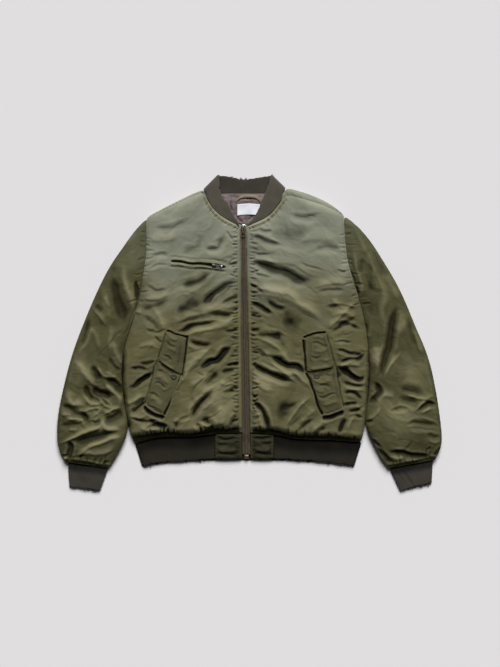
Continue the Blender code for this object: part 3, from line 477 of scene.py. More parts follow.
# The hem band is the cuffs' knit painted darker: painted shade, for the shell blouses over it.
shaded_hem_knit = material("shaded_hem_knit", knit, {"Yarn": (0.032, 0.027, 0.019, 1), "Groove shade": (0.008, 0.007, 0.005, 1),
                                       "Shade to": 46.0},
                    depth=0.0006, specular=0.1, sheen=0.05, sheen_tint=(0.9, 0.87, 0.8, 1))
lining_satin = material("lining_satin", weave, {"Upper": (0.145, 0.102, 0.102, 1),
                                                "Lower": (0.12, 0.085, 0.085, 1), "Pitch": 0.7, "Crest highlight": 0.10},
                        depth=0.0010, specular=0.5)
loop_nylon = material("loop_nylon", weave, {"Upper": (0.20, 0.18, 0.095, 1), "Lower": (0.20, 0.18, 0.095, 1)},
                      depth=0.0008, specular=0.6, tint=YARN_GLINT)
label_weave = material("label_weave", weave, {"Upper": (0.72, 0.73, 0.78, 1), "Lower": (0.72, 0.73, 0.78, 1),
                                              "Pitch": 0.6}, depth=0.0004, specular=0.3)
tape_twill = material("tape_twill", weave, {"Upper": (0.125, 0.104, 0.070, 1),
                                            "Lower": (0.058, 0.047, 0.029, 1),
                                            "Pitch": 1.2}, depth=0.0006, specular=0.25)
thread = material("thread", weave, {"Upper": (0.17, 0.165, 0.115, 1), "Lower": (0.105, 0.100, 0.056, 1)},
                  depth=0.0001, specular=0.5)
old_brass = material("old_brass", tarnish, {"Clean": (0.62, 0.49, 0.36, 1), "Dull": (0.22, 0.165, 0.115, 1),
                                            "Polish": 0.22}, depth=0.0002, metallic=1.0)
nickel = material("nickel", tarnish, {"Clean": (0.66, 0.67, 0.69, 1), "Dull": (0.38, 0.37, 0.36, 1),
                                      "Polish": 0.16}, depth=0.0002, metallic=1.0)
dark_metal = material("dark_metal", tarnish, {"Clean": (0.15, 0.13, 0.085, 1), "Dull": (0.07, 0.06, 0.038, 1),
                                              "Polish": 0.36}, depth=0.0002, metallic=1.0)
painted_cap = material("painted_cap", tarnish, {"Clean": (0.055, 0.054, 0.032, 1),
                                                "Dull": (0.035, 0.035, 0.02, 1),
                                                "Polish": 0.40}, depth=0.0002, metallic=0.2, specular=0.4)
print("materials:", [m.name for m in bpy.data.materials if m.use_nodes])

# %% [markdown]
# The front panels carry the most folds. They are set down one after another, from the collar to
# the hem: each row has the half width, the height, and the points of its line. The shell is
# stitched to the zip, so short puckers run off the zip as well, one every centimetre or so.

# %% The line of the zip
ZIP_TOP, ZIP_END = Vector((-16, 262)), Vector((-8, -316))


def zip_x(y):
    return ZIP_TOP.x + (ZIP_END.x - ZIP_TOP.x) * (ZIP_TOP.y - y) / (ZIP_TOP.y - ZIP_END.y)


def zip_half(y):
    return 8.2 + 2.3 * (ZIP_TOP.y - y) / (ZIP_TOP.y - ZIP_END.y)


def zip_level(y):
    """Height of the tapes' underside: level on the back, then down to the hem."""
    return 11.9 - 4.6 * float(soft_step(-247, -277, np.array(y, float)))


# %% Folds of the wearer's right front
RIGHT_FOLDS = [
    (3, -3.0, (-61, 256), (-50, 240), (-37, 232)),
    (7, -5.0, (-114, 210), (-95, 211), (-80, 213), (-74, 227), (-64, 243)),
    (9, -3.0, (-138, 238), (-128, 235), (-132, 216), (-154, 205), (-170, 190)),
    (6, -2.5, (-249, 191), (-217, 194), (-202, 187)),
    (3, -2.0, (-249, 157), (-230, 167), (-198, 171)),
    (11, -6.0, (-92, 147), (-130, 128), (-180, 114)),
    (10, 4.0, (-80, 152), (-110, 125), (-166, 90)),
    (10, -7.0, (-34, 130), (-75, 106), (-101, 85), (-128, 70)),
    (30, -4.0, (-120, 78), (-160, 59), (-190, 50)),
    (5, 3.5, (-42, 123), (-75, 95), (-100, 68)),
    (12, 6.0, (-24, 68), (-101, 53), (-177, 30), (-190, 10)),
    (6, -4.5, (-100, 45), (-70, 46), (-36, 45)),
    (6, -7.0, (-188, 0), (-140, 16), (-74, 28)),
    (13, 6.0, (-28, 45), (-62, 20), (-95, 7), (-150, -3), (-158, -17)),
    (6, -5.0, (-156, -18), (-124, -27), (-90, -29)),
    (6, 2.5, (-158, -32), (-128, -38)),
    (9, 6.0, (-88, -28), (-107, -44), (-151, -91), (-176, -140)),
    (7, -9.0, (-40, -35), (-62, -45), (-81, -66), (-101, -72), (-126, -90)),
    (3, -3.5, (-60, -83), (-24, -75)),
    (5, -3.5, (-74, -100), (-34, -91)),
    (2.5, -2.0, (-133, -100), (-111, -107)),
    (9, 4.0, (-96, -101), (-158, -139)),
    (10, -5.0, (-78, -97), (-112, -136)),
    (5, 3.0, (-84, -136), (-125, -152)),
    (7, -8.5, (-84, -146), (-111, -163), (-127, -180), (-150, -218)),
    (5, -6.0, (-132, -226), (-125, -237), (-120, -247)),
    (4, 5.0, (-122, -222), (-106, -234), (-94, -230)),
    (9, -6.0, (-116, -210), (-98, -232), (-90, -244)),
    (6, -4.5, (-28, -200), (-54, -238)),
    (2.5, -3.0, (-48, 53), (-22, 64)),
    (3, -3.0, (-62, -86), (-24, -78)),
    (4, -3.5, (-280, -78), (-232, -73)),
    (5, -4.5, (-292, -128), (-244, -102)),
    (5, -4.5, (-292, -187), (-256, -162)),
    (3, -3.0, (-240, -6), (-216, -28)),
    (4, -3.0, (-262, 8), (-232, 2), (-206, 8)),
    (7, 3.0, (-284, -40), (-252, -30), (-222, -40)),
    (4, -3.5, (-300, -210), (-262, -222), (-226, -216)),
    (6, -5.0, (-262, -244), (-232, -232), (-196, -238)),
    (5, -4.0, (-190, -248), (-178, -222), (-150, -206)),
    (8, 4.0, (-66, -178), (-74, -206), (-70, -238)),
    (5, -4.0, (-24, -130), (-52, -146), (-72, -150)),
    (6, 3.0, (-24, -116), (-52, -128), (-78, -126)),
    (4, -3.0, (-24, 12), (-44, 4), (-66, 2)),
    (5, -3.5, (-24, 90), (-48, 84), (-70, 70)),
    (5, -3.0, (-22, 176), (-48, 172), (-76, 180)),
    (8, 3.0, (-24, 196), (-60, 192), (-92, 176)),
    (6, -3.0, (-262, 120), (-234, 104), (-206, 110)),
    (7, -3.5, (-276, 62), (-240, 62), (-204, 78)),
    (7, 3.5, (-272, 84), (-236, 82), (-196, 96)),
    (10, 3.0, (-262, 238), (-224, 230), (-180, 236)),
    (8, -3.0, (-240, 262), (-196, 262), (-150, 280)),
    (7, 3.0, (-208, 2), (-226, 34), (-244, 74)),
    (6, -3.0, (-218, 0), (-244, 26), (-268, 44)),
    (6, 3.5, (-300, 30), (-288, 52), (-266, 46)),
    (5, -5.0, (-306, -140), (-284, -128), (-262, -112), (-240, -98)),
    (6, 4.5, (-312, -186), (-286, -170), (-262, -152)),
    (5, -4.5, (-300, -200), (-276, -186), (-254, -170)),
    (6, 3.5, (-304, -206), (-276, -212), (-250, -206)),
    (6, -5.0, (-250, -214), (-234, -228), (-204, -236)),
    (7, 4.0, (-282, -236), (-252, -244), (-216, -242)),
    (4, -3.5, (-302, -92), (-278, -86), (-250, -90)),
    (6, 4.0, (-148, -214), (-168, -222), (-196, -218)),
]
RIGHT_SWELLS = [(-81, -166, 38, 5.0), (-150, -200, 40, 3.0), (-60, -205, 30, 2.5), (-220, 120, 50, 2.0)]

# %% Folds of the wearer's left front
LEFT_FOLDS = [
    (5, -3.0, (16, 263), (37, 254), (60, 256)),
    (20, -3.0, (36, 250), (104, 245), (155, 256)),
    (6, -5.5, (-3, 241), (25, 237), (49, 224), (82, 218)),
    (4, -3.0, (-3, 198), (54, 195)),
    (9, -8.5, (-4, 176), (26, 171), (61, 159), (90, 151), (122, 132), (158, 127)),
    (8, 3.5, (-3, 180), (95, 173), (152, 143), (180, 141)),
    (3, -2.5, (122, 174), (152, 165), (186, 154)),
    (4, -3.0, (216, 156), (244, 148)),
    (4, -4.0, (0, 122), (17, 111), (37, 99)),
    (10, 5.5, (4, 104), (37, 109), (66, 101), (97, 96), (130, 72)),
    (6, -5.0, (42, 83), (69, 63), (92, 61)),
    (5, -6.0, (0, 73), (17, 70), (38, 56), (62, 44)),
    (12, -1.8, (86, 56), (96, 34), (114, 28)),
    (14, 6.5, (18, 100), (89, 87), (132, 63), (172, 39), (172, 20)),
    (3, -3.5, (0, 47), (31, 35)),
    (3.5, -3.5, (0, 9), (26, 7)),
    (9, -5.0, (8, -7), (51, -8), (86, -10)),
    (8, 5.5, (8, -10), (60, -30), (102, -78)),
    (7, -9.0, (-2, -75), (36, -94), (69, -107), (108, -126)),
    (7, -9.0, (48, -61), (69, -66), (80, -77), (94, -83), (117, -84), (144, -106)),
    (6, 5.0, (54, -72), (83, -96), (115, -124)),
    (5, 4.0, (102, -93), (124, -113), (152, -142)),
    (15, -2.2, (122, -120), (83, -191), (70, -236)),
    (6, 5.5, (154, -160), (124, -180), (107, -204), (84, -242)),
    (8, 4.0, (170, -188), (118, -228)),
    (8, 4.0, (196, -212), (154, -246)),
    (3, -3.0, (0, -149), (25, -171)),
    (6, -8.5, (3, -165), (29, -189), (42, -215), (55, -251)),
    (2.5, -3.0, (4, -173), (16, -202)),
    (5, -5.5, (211, -90), (238, -90), (255, -109), (280, -126)),
    (6, 4.0, (213, -90), (275, -65)),
    (4, -4.5, (230, -177), (272, -177)),
    (4, -3.5, (250, -49), (282, -57)),
    (5, -4.0, (160, -216), (140, -226), (112, -254)),
    (5, -4.0, (188, -232), (172, -244), (160, -258)),
    (6, -5.0, (240, -212), (228, -236), (222, -256)),
    (6, 4.0, (262, -196), (250, -226), (246, -250)),
    (4, -4.0, (284, -214), (262, -206), (244, -214)),
    (8, 4.0, (6, -112), (24, -132), (60, -150)),
    (7, 4.0, (4, -36), (30, -52), (60, -58)),
    (5, -4.0, (2, -40), (20, -46), (44, -62)),
    (4, -3.0, (2, 150), (34, 140), (58, 138)),
    (5, -3.0, (170, 98), (200, 108), (240, 104)),
    (7, 3.5, (160, 112), (204, 124), (248, 122)),
    (5, -3.5, (186, 62), (222, 66), (266, 56)),
    (7, 3.0, (196, 40), (232, 46), (276, 34)),
    (5, -3.5, (206, 18), (240, 22), (280, 8)),
    (8, -3.0, (160, 206), (196, 214), (232, 206)),
    (10, 3.0, (120, 226), (168, 234), (226, 228)),
    (7, -3.0, (96, 296), (138, 288), (180, 296)),
    (7, 4.5, (192, 6), (222, 36), (256, 66)),
    (5, -3.5, (202, -2), (234, 22), (268, 42)),
    (4, -4.5, (212, -44), (236, -46), (262, -56)),
    (4, -5.0, (222, -78), (244, -68), (270, -66), (290, -54)),
    (5, 4.0, (217, -92), (250, -82), (284, -84)),
    (5, -6.0, (224, -88), (252, -106), (276, -116), (292, -106)),
    (4, -4.0, (230, -122), (262, -134), (290, -132)),
    (4, -4.5, (234, -148), (262, -152), (282, -168)),
    (5, 3.5, (232, -136), (262, -144), (288, -148)),
    (4, -4.0, (242, -196), (268, -192), (284, -182)),
    (5, 3.5, (240, -186), (264, -184), (286, -196)),
    (3, -3.0, (206, -26), (230, -20), (258, -24)),
    (6, 4.0, (200, 90), (236, 60), (272, 78)),
]
LEFT_SWELLS = [(40, -122, 36, 5.0), (110, -190, 26, -1.0), (30, -206, 26, 3.0), (212, 130, 50, 2.0)]


# %% Puckers along a stitched line
def puckers(line, outward, gap, long, depth, seed, tilt=0.25):
    """Short troughs that run off a stitched line to one side, unevenly."""
    draw = np.random.default_rng(seed)
    path = smooth_line(line, 12)
    walked = np.concatenate([[0], np.cumsum(np.hypot(*np.diff(path, axis=0).T))])
    found, at = [], draw.uniform(0, gap)
    while at < walked[-1]:
        x, y = (np.interp(at, walked, path[:, k]) for k in (0, 1))
        reach = draw.uniform(0.45, 1.0) ** 1.5 * long
        lean = draw.normal(0, tilt)
        dx, dy = outward[0] * reach, outward[1] * reach
        end = (x + dx - dy * lean, y + dy + dx * lean)
        found.append((draw.uniform(1.5, 2.8), -depth * draw.uniform(0.45, 1.0), (x - dx * 0.15, y - dy * 0.15),
                      ((x + end[0]) / 2, (y + end[1]) / 2 + draw.normal(0, 1.0)), end))
        at += gap * draw.uniform(0.6, 1.5)
    return found


RIGHT_FOLDS += puckers([(-30, 256), (-25, -246)], (-1, -0.05), 8.5, 26, 4.2, 11)
LEFT_FOLDS += puckers([(-2, 256), (5, -246)], (1, -0.05), 8.5, 26, 4.2, 12)
RIGHT_FOLDS += puckers([(-284, -272), (-226, -255), (-152, -257), (-92, -248), (-24, -248)],
                       (0, 1), 12, 24, 4.0, 13)
LEFT_FOLDS += puckers([(4, -248), (60, -251), (106, -261), (186, -264), (272, -270)], (0, 1), 12, 24, 4.0, 14)
RIGHT_FOLDS += puckers([(-264, 250), (-262, 190), (-270, 140), (-282, 66)], (1, 0.05), 16, 26, 2.6, 15)
LEFT_FOLDS += puckers([(238, 256), (244, 186), (256, 134), (278, 68)], (-1, 0.05), 16, 26, 2.6, 16)
RIGHT_FOLDS += puckers([(-112, 344), (-95, 310), (-68, 284), (-28, 263)], (-0.6, -0.8), 11, 16, 2.2, 17)
LEFT_FOLDS += puckers([(88, 338), (60, 298), (38, 280), (-2, 263)], (0.6, -0.8), 11, 16, 2.2, 18)

# The shell rolls under at the hem and at the sides, and a shadow gap runs round each pocket. These troughs are
# deep, so the fold mask also paints them dark: painted shade over a real dip.
RIGHT_SEAMS = [(13, -8.0, (-296, -272), (-226, -257), (-152, -260), (-92, -250), (-22, -250)),
                (6, -4.0, (-318, -40), (-321, -110), (-314, -180), (-301, -240)),
                (2.6, -7.5, (-176, -107), (-196, -154), (-216, -206)),
                (4.2, -8.5, (-262, -186), (-240, -202), (-216, -211)),
                (2.4, -6.0, (-158, -8), (-163, -60), (-170, -108)),
                (2.4, -5.5, (-206, 4), (-184, -3), (-160, -10)),
                (2.0, -3.0, (-232, -68), (-247, -124), (-260, -178)),
                (2.0, -3.0, (-208, -2), (-222, -40), (-230, -66)),
                (2.2, -1.5, (-200, 190), (-130, 185), (-57, 177)),
                (2.2, -1.5, (-200, 165), (-130, 159), (-57, 152)),
                (3.0, -9.0, (-196, 178.5), (-61, 164))]
LEFT_SEAMS = [(13, -8.0, (4, -250), (60, -253), (106, -263), (186, -266), (280, -273)),
               (6, -4.0, (302, -40), (302, -100), (297, -170), (288, -240)),
               (2.6, -7.5, (141, -100), (162, -156), (182, -206)),
               (4.2, -8.5, (181, -213), (206, -207), (232, -197)),
               (2.6, -6.5, (134, -18), (138, -60), (141, -96)), (2.4, -6.5, (136, -12), (160, -3), (188, 0)),
               (2.0, -3.0, (190, -4), (206, -56), (222, -120), (234, -186))]
print("folds on the fronts:", len(RIGHT_FOLDS), len(LEFT_FOLDS))

# %% [markdown]
# What lies on a front presses it flat, so no ridge may rise under a pocket, flap or pocket zip.

# %% Places that stay flat
POCKET_PLACES = {
    "right": [((-207, 1), (-158, -12), (-168, -108), (-230, -70)),
              ((-229, -64), (-166, -101), (-215, -209), (-259, -179)),
              ((-200, 190), (-56, 176), (-58, 152), (-202, 166))],
    "left": [((137, -13), (186, 0), (213, -87), (142, -99)),
             ((142, -92), (212, -79), (232, -190), (183, -209))],
}


# %% [markdown]
# The folds move only what faces up: the rim of a panel is sewn down, and its underside lies on
# the back. Each point keeps its fold's height as a mask, which the nylon reads to paint a highlight
# on the crowns and shade in the troughs.


# %% Folding a panel
def from_zip(x, y):
    """Distance outwards from the edge that a front leaves to the zip."""
    down = (ZIP_TOP.y - y) / (ZIP_TOP.y - ZIP_END.y)
    return np.abs(x - ZIP_TOP.x - (ZIP_END.x - ZIP_TOP.x) * down) - 8.2 - 2.3 * down


def drape(x, y, heading, size, seed):
    """Long narrow creases on this heading, about this far apart, that wander and die out."""
    turn = math.radians(heading)
    along = x * math.cos(turn) + y * math.sin(turn)
    across = y * math.cos(turn) - x * math.sin(turn) + 0.5 * size * rumple(x, y, 2.4 * size, seed)
    level = rumple(along / 3.2, across, size, seed + 1)
    there = soft_step(-0.25, 0.45, rumple(x, y, 2.0 * size, seed + 2))
    return 0.55 * level - np.exp(-(level / 0.17) ** 2) * there


def fold_panel(made, folds, swells, bottom, pressed=(), seams=(), drapes=(), lumps=0.9, seed=21):
    mesh = made.data
    points, normals = read_points(mesh), read_normals(mesh)
    x, y = points[:, 0], points[:, 1]
    facing_up = soft_step(0.05, 0.45, normals[:, 2])
    field = crease_height(x, y, folds) + swell_height(x, y, swells)
    field += lumps * rumple(x, y, 47, seed) + 0.55 * lumps * rumple(x, y, 19, seed + 1)
    field += 0.22 * lumps * rumple(x, y, 8.5, seed + 2)
    for count, (heading, size, depth, cx, cy, reach) in enumerate(drapes):
        share = np.exp(-((x - cx) ** 2 + (y - cy) ** 2) / reach ** 2)
        field += share * depth * drape(x, y, heading, size, seed + 7 * count)
    field *= 0.12 + 0.88 * soft_step(4.0, 12.0, from_zip(x, y))
    for corners in pressed:
        under = inside(x, y, corners, 7)
        field = np.where(field > 0, field * (1 - under), field * (1 - 0.7 * under))
    field += crease_height(x, y, seams, fade=0.05)
    rise = points[:, 2] - bottom
    move = field * facing_up
    lowest = 2.2 + 0.25 * rise
    moved = rise + move
    moved = np.where(moved < lowest, lowest - (lowest - moved) * 0.12, moved)
    points[:, 2] = np.where(facing_up > 0, bottom + moved, points[:, 2])
    write_points(mesh, points)
    # The fold mask paints shade in the troughs, more where the cloth faces up, and paints the crowns light
    # where it faces up.
    shaded = np.where(field < 0, field * (0.35 + 0.65 * facing_up), move)
    beside = from_zip(x, y)
    # Painted highlight on the flat band of shell beside the zip, and all of this painted light and shade is
    # made weaker toward the collar.
    shaded += 2.4 * soft_step(0.0, 2.0, beside) * (1 - soft_step(5.0, 8.0, beside)) * facing_up
    shaded *= 1 - 0.4 * soft_step(40, 190, y)
    write_mask(mesh, "fold", np.clip(shaded / 5.8, -1, 1))
    made.data.shade_smooth()
    return made


# %% How the fronts hang
# heading in degrees, spacing, depth, then the place where it is strongest and how far it reaches
RIGHT_DRAPES = [(40, 27, 3.0, -95, -180, 105), (14, 24, 2.4, -130, 0, 95), (-24, 34, 1.5, -120, 150, 80),
                (24, 18, 2.2, -215, -180, 60), (30, 13, 1.5, -70, -60, 130), (18, 11, 1.6, -230, -120, 80)]
LEFT_DRAPES = [(-30, 27, 3.0, 85, -40, 110), (44, 32, 2.6, 105, -215, 85), (-14, 30, 1.7, 110, 130, 90),
               (12, 18, 2.4, 220, -120, 75), (-26, 13, 1.5, 60, -30, 130), (8, 11, 1.7, 245, -60, 90)]
RIGHT_SLEEVE_DRAPES = [(66, 27, 2.2, -335, 60, 140), (-28, 23, 2.8, -395, -190, 95),
                       (-34, 11, 1.4, -400, -200, 90),
                       (30, 11, 1.6, -400, -320, 45)]
LEFT_SLEEVE_DRAPES = [(-66, 30, 2.0, 340, 40, 140), (-18, 27, 2.0, 405, -215, 95),
                      (-22, 12, 1.2, 400, -230, 100),
                      (-24, 11, 1.4, 410, -315, 50)]

# %% The two fronts
front_right = fold_panel(cloth_from("front_right", "front_right_shell", body_nylon, CELL),
                         RIGHT_FOLDS, RIGHT_SWELLS, 11.3, POCKET_PLACES["right"], RIGHT_SEAMS,
                         RIGHT_DRAPES, seed=21)
front_left = fold_panel(cloth_from("front_left", "front_left_shell", body_nylon, CELL),
                        LEFT_FOLDS, LEFT_SWELLS, 11.3, POCKET_PLACES["left"], LEFT_SEAMS,
                        LEFT_DRAPES, seed=31)
settle(front_right, "jacket", "nylon", "front_right")
settle(front_left, "jacket", "nylon", "front_left")
for made in (front_right, front_left):
    top = round(read_points(made.data)[:, 2].max(), 1)
    print(made.name, len(made.data.polygons), "faces, top", top, "mm")

# %% [markdown]
# The sleeves lie bent a little, so long folds run down them and break into short ones at the
# elbow and above the cuff, where the cloth is gathered into the rib.

# %% Folds of the sleeves
RIGHT_SLEEVE_FOLDS = [
    (8, 5.0, (-320, 170), (-309, 120), (-296, 82), (-289, 54)),
    (14, -7.0, (-346, 146), (-331, 92), (-319, 56), (-311, 18)),
    (4, -8.0, (-285, 134), (-283, 104), (-281, 74)),
    (6, 4.0, (-390, 62), (-374, 42), (-361, 21), (-352, 16)),
    (8, 3.0, (-352, 20), (-345, -2), (-348, -23), (-346, -50)),
    (7, 3.0, (-403, 12), (-390, 0), (-382, -16), (-374, -48)),
    (6, 2.5, (-367, 90), (-348, 62)),
    (7, -3.0, (-384, 70), (-366, 48)),
    (8, 6.0, (-438, -64), (-423, -87), (-404, -114), (-391, -127), (-374, -133)),
    (6, -6.0, (-393, -82), (-381, -103), (-369, -117)),
    (4, 3.5, (-380, -82), (-365, -107), (-336, -115)),
    (4, 3.0, (-364, -98), (-330, -114)),
    (7, -8.5, (-361, -115), (-340, -123), (-327, -139), (-321, -160)),
    (6, 5.0, (-364, -124), (-346, -143), (-332, -158), (-324, -171), (-326, -188)),
    (9, -8.5, (-394, -134), (-378, -149), (-359, -154), (-344, -164)),
    (6, -6.5, (-413, -129), (-404, -152), (-388, -173)),
    (4, 4.0, (-394, -152), (-378, -166), (-359, -184), (-336, -188)),
    (3, -3.5, (-372, -166), (-354, -182)),
    (3, 3.0, (-370, -162), (-352, -173), (-340, -188)),
    (5, 4.5, (-416, -152), (-400, -176), (-388, -182), (-368, -181)),
    (8, 4.5, (-460, -140), (-448, -171), (-442, -181), (-406, -181)),
    (8, -5.0, (-474, -183), (-451, -187), (-422, -212)),
    (4, 3.5, (-426, -191), (-410, -197), (-388, -192), (-374, -196), (-388, -210), (-399, -217)),
    (7, -5.0, (-433, -201), (-410, -210), (-394, -221)),
    (10, -6.5, (-366, -209), (-343, -213), (-316, -193)),
    (5, 4.0, (-368, -205), (-346, -194), (-320, -188)),
    (6, 4.5, (-368, -210), (-365, -232), (-356, -243), (-322, -243)),
    (12, -7.5, (-446, -275), (-400, -262), (-371, -257), (-326, -248)),
    (4, 5.5, (-480, -282), (-445, -264), (-404, -248), (-375, -235), (-370, -214)),
    (10, 5.5, (-416, -296), (-372, -278), (-318, -259)),
    (4, 2.5, (-472, -208), (-442, -206)),
    (5, 3.5, (-464, -221), (-432, -217), (-406, -225)),
    (6, 2.5, (-454, -241), (-428, -243)),
    (5, -3.5, (-476, -232), (-416, -228)),
    (5, -9.0, (-453, -268), (-447, -284), (-450, -306), (-446, -322)),
    (3, -4.5, (-473, -308), (-451, -306)),
    (3, 3.5, (-473, -321), (-449, -311)),
    (6, 5.0, (-448, -309), (-423, -304), (-404, -288), (-372, -277), (-320, -258)),
    (5, 3.5, (-426, -314), (-410, -304), (-362, -303), (-336, -288)),
    (3, -4.0, (-425, -316), (-421, -309), (-411, -305)),
    (4, -4.0, (-368, -330), (-354, -320)),
    (10, -3.0, (-300, 230), (-330, 186), (-356, 132)),
    (8, 3.0, (-286, 250), (-312, 206), (-338, 150)),
    (6, -3.0, (-400, 40), (-410, 0), (-424, -40)),
    (6, 3.0, (-390, 20), (-412, -30), (-432, -56)),
    (5, -4.0, (-352, -60), (-340, -84), (-322, -96)),
    (7, 4.0, (-340, -20), (-332, -54), (-318, -84)),
    (5, -4.0, (-418, -196), (-404, -222), (-392, -236)),
    (4, -4.0, (-398, -220), (-386, -226), (-374, -218)),
]
LEFT_SLEEVE_FOLDS = [
    (5, 4.0, (257, 210), (267, 159), (277, 126), (281, 103), (279, 76)),
    (4, -7.0, (263, 120), (267, 108), (274, 88)),
    (3, -4.0, (252, 156), (259, 138), (266, 122)),
    (7, -4.0, (281, 186), (278, 166), (273, 144)),
    (8, 3.0, (296, 206), (306, 170), (310, 128)),
    (8, -3.5, (294, 182), (303, 126), (300, 86)),
    (10, 3.5, (320, 150), (336, 91), (330, 48), (335, 0)),
    (8, -7.5, (367, 66), (355, 27), (347, -20), (342, -50), (333, -80), (323, -108), (311, -118)),
    (12, 4.0, (374, 58), (382, 20), (366, -14)),
    (6, -7.0, (289, 26), (286, 4), (287, -22)),
    (4, 3.0, (279, -7), (298, -9)),
    (12, 4.5, (309, -28), (316, -64), (312, -90)),
    (5, 3.5, (380, -49), (360, -73), (345, -92), (335, -116)),
    (7, -7.5, (311, -124), (324, -147), (313, -164), (295, -177)),
    (7, 4.5, (312, -181), (327, -163), (345, -158), (364, -165)),
    (9, -4.5, (370, -163), (392, -170), (422, -176)),
    (6, 4.5, (385, -155), (415, -163), (437, -167), (462, -157)),
    (5, -7.0, (470, -181), (448, -176), (433, -185), (416, -199)),
    (6, 3.5, (454, -188), (426, -203)),
    (4, 3.0, (441, -171), (414, -196)),
    (14, -4.0, (372, -143), (402, -146), (436, -149)),
    (8, -5.5, (388, -230), (430, -226), (472, -235)),
    (5, 3.0, (386, -237), (430, -234), (470, -243)),
    (5, 3.0, (288, -219), (309, -207), (330, -186)),
    (4, -4.0, (287, -224), (308, -221)),
    (6, -9.0, (345, -297), (367, -299), (390, -302), (422, -307), (458, -311)),
    (7, 4.5, (348, -306), (372, -316), (394, -305)),
    (4, -6.5, (480, -285), (470, -298), (460, -310)),
    (5, -3.0, (446, -286), (451, -294)),
    (5, -7.5, (321, -292), (343, -313), (356, -323)),
    (3, -2.0, (388, -294), (405, -269)),
    (4, -5.0, (300, -262), (318, -276), (330, -290)),
    (6, -3.0, (440, -252), (456, -262), (476, -262)),
    (6, 3.0, (444, -268), (460, -276), (478, -270)),
    (8, 3.0, (262, 262), (282, 224), (292, 190)),
    (9, -3.5, (300, 210), (326, 170), (346, 128)),
    (9, 3.0, (330, 160), (356, 112), (376, 70)),
    (6, -3.0, (398, 36), (404, 0), (420, -40)),
    (7, 3.0, (404, 14), (420, -26), (436, -60)),
    (4, -3.0, (350, -196), (376, -188), (398, -192)),
]
RIGHT_SLEEVE_FOLDS += puckers([(-352, -334), (-400, -328), (-452, -322)], (0.15, 1), 13, 34, 3.0, 41)
LEFT_SLEEVE_FOLDS += puckers([(350, -333), (400, -326), (456, -316)], (-0.15, 1), 13, 34, 3.0, 42)
RIGHT_SLEEVE_FOLDS += puckers([(-262, 262), (-262, 190), (-271, 140), (-284, 66)],
                              (-1, -0.1), 18, 28, 2.4, 43)
LEFT_SLEEVE_FOLDS += puckers([(240, 262), (246, 182), (260, 132), (282, 68)], (1, -0.1), 18, 28, 2.4, 44)

# The sleeve's edge turns in over the cuff, and is in its own shade there: a trough that the fold mask also
# paints dark, painted shade over a real dip.
RIGHT_SLEEVE_SEAMS = [(7, -9.0, (-466, -324), (-430, -330), (-390, -335), (-346, -341)),
                      (5, -3.0, (-484, -280), (-482, -210), (-467, -137), (-446, -55))]
LEFT_SLEEVE_SEAMS = [(7, -9.0, (342, -341), (390, -333), (430, -326), (468, -318)),
                     (5, -3.0, (484, -286), (480, -240), (470, -165), (449, -64))]

# %% The upper halves of the sleeves
sleeve_right = fold_panel(cloth_from("sleeve_right_top", "sleeve_right_shell", arm_nylon, CELL),
                          RIGHT_SLEEVE_FOLDS, [(-350, -250, 40, 2.0), (-420, -90, 40, 2.0)], 11.3,
                          seams=RIGHT_SLEEVE_SEAMS, drapes=RIGHT_SLEEVE_DRAPES, seed=51)
sleeve_left = fold_panel(cloth_from("sleeve_left_top", "sleeve_left_shell", arm_nylon, CELL, grow=3.0),
                         LEFT_SLEEVE_FOLDS, [(369, -208, 50, 4.0), (400, -90, 50, 3.0)], 11.3,
                         seams=LEFT_SLEEVE_SEAMS, drapes=LEFT_SLEEVE_DRAPES, seed=61)
settle(sleeve_right, "jacket", "sleeve_nylon", "sleeve_right_top")
settle(sleeve_left, "jacket", "sleeve_nylon", "sleeve_left_top")
print("sleeves:", len(sleeve_right.data.polygons), len(sleeve_left.data.polygons), "faces")

# %% [markdown]
# The back and the under halves of the sleeves lie flat on the floor. They show at the shoulders,
# along the sides and from below, where the weight of the jacket has pressed the folds in: there
# every fold is a shallow hollow, so that the cloth still rests on one level. These folds are wide,
# so a coarser net carries them.

# %% Folds seen from below
BACK_FOLDS = [
    (10, 3.2, (-120, 300), (-60, 270), (-10, 262)),
    (9, 2.6, (40, 296), (86, 262), (140, 250)),
    (12, 3.6, (-230, 190), (-160, 160), (-90, 170), (-30, 150)),
    (10, 3.0, (20, 180), (90, 150), (170, 160), (220, 190)),
    (14, 4.0, (-250, 90), (-170, 60), (-90, 76)),
    (9, 3.0, (-40, 96), (30, 70), (110, 84)),
    (12, 3.6, (130, 60), (200, 30), (270, 44)),
    (10, 3.2, (-280, 0), (-210, -30), (-120, -10), (-60, -34)),
    (12, 3.8, (-10, -20), (70, -50), (150, -34)),
    (8, 3.0, (190, -40), (240, -76), (284, -70)),
    (14, 4.0, (-290, -110), (-220, -130), (-140, -104)),
    (9, 3.0, (-100, -120), (-30, -96), (40, -118)),
    (12, 3.6, (80, -130), (160, -110), (250, -150)),
    (8, 2.8, (-270, -190), (-200, -176), (-150, -200)),
    (10, 3.2, (-110, -196), (-20, -180), (60, -204)),
    (9, 3.0, (110, -210), (190, -190), (262, -214)),
]
BACK_FOLDS += [(f[0], -f[1], *f[2:]) for f in puckers(
    [(-276, -262), (-200, -252), (-88, -247), (60, -247), (200, -259), (270, -268)], (0, 1), 13, 30, 3.4, 71)]
SLEEVE_UNDER_FOLDS = [
    (9, 3.0, (300, 170), (330, 90), (372, 60)),
    (11, 3.6, (310, 60), (350, 20), (410, 10)),
    (9, 3.2, (320, -20), (370, -50), (430, -40)),
    (12, 3.8, (316, -110), (380, -90), (450, -120)),
    (8, 3.0, (312, -170), (370, -190), (460, -176)),
    (10, 3.4, (316, -240), (380, -226), (470, -250)),
    (7, 2.8, (340, -290), (400, -276), (466, -296)),
]


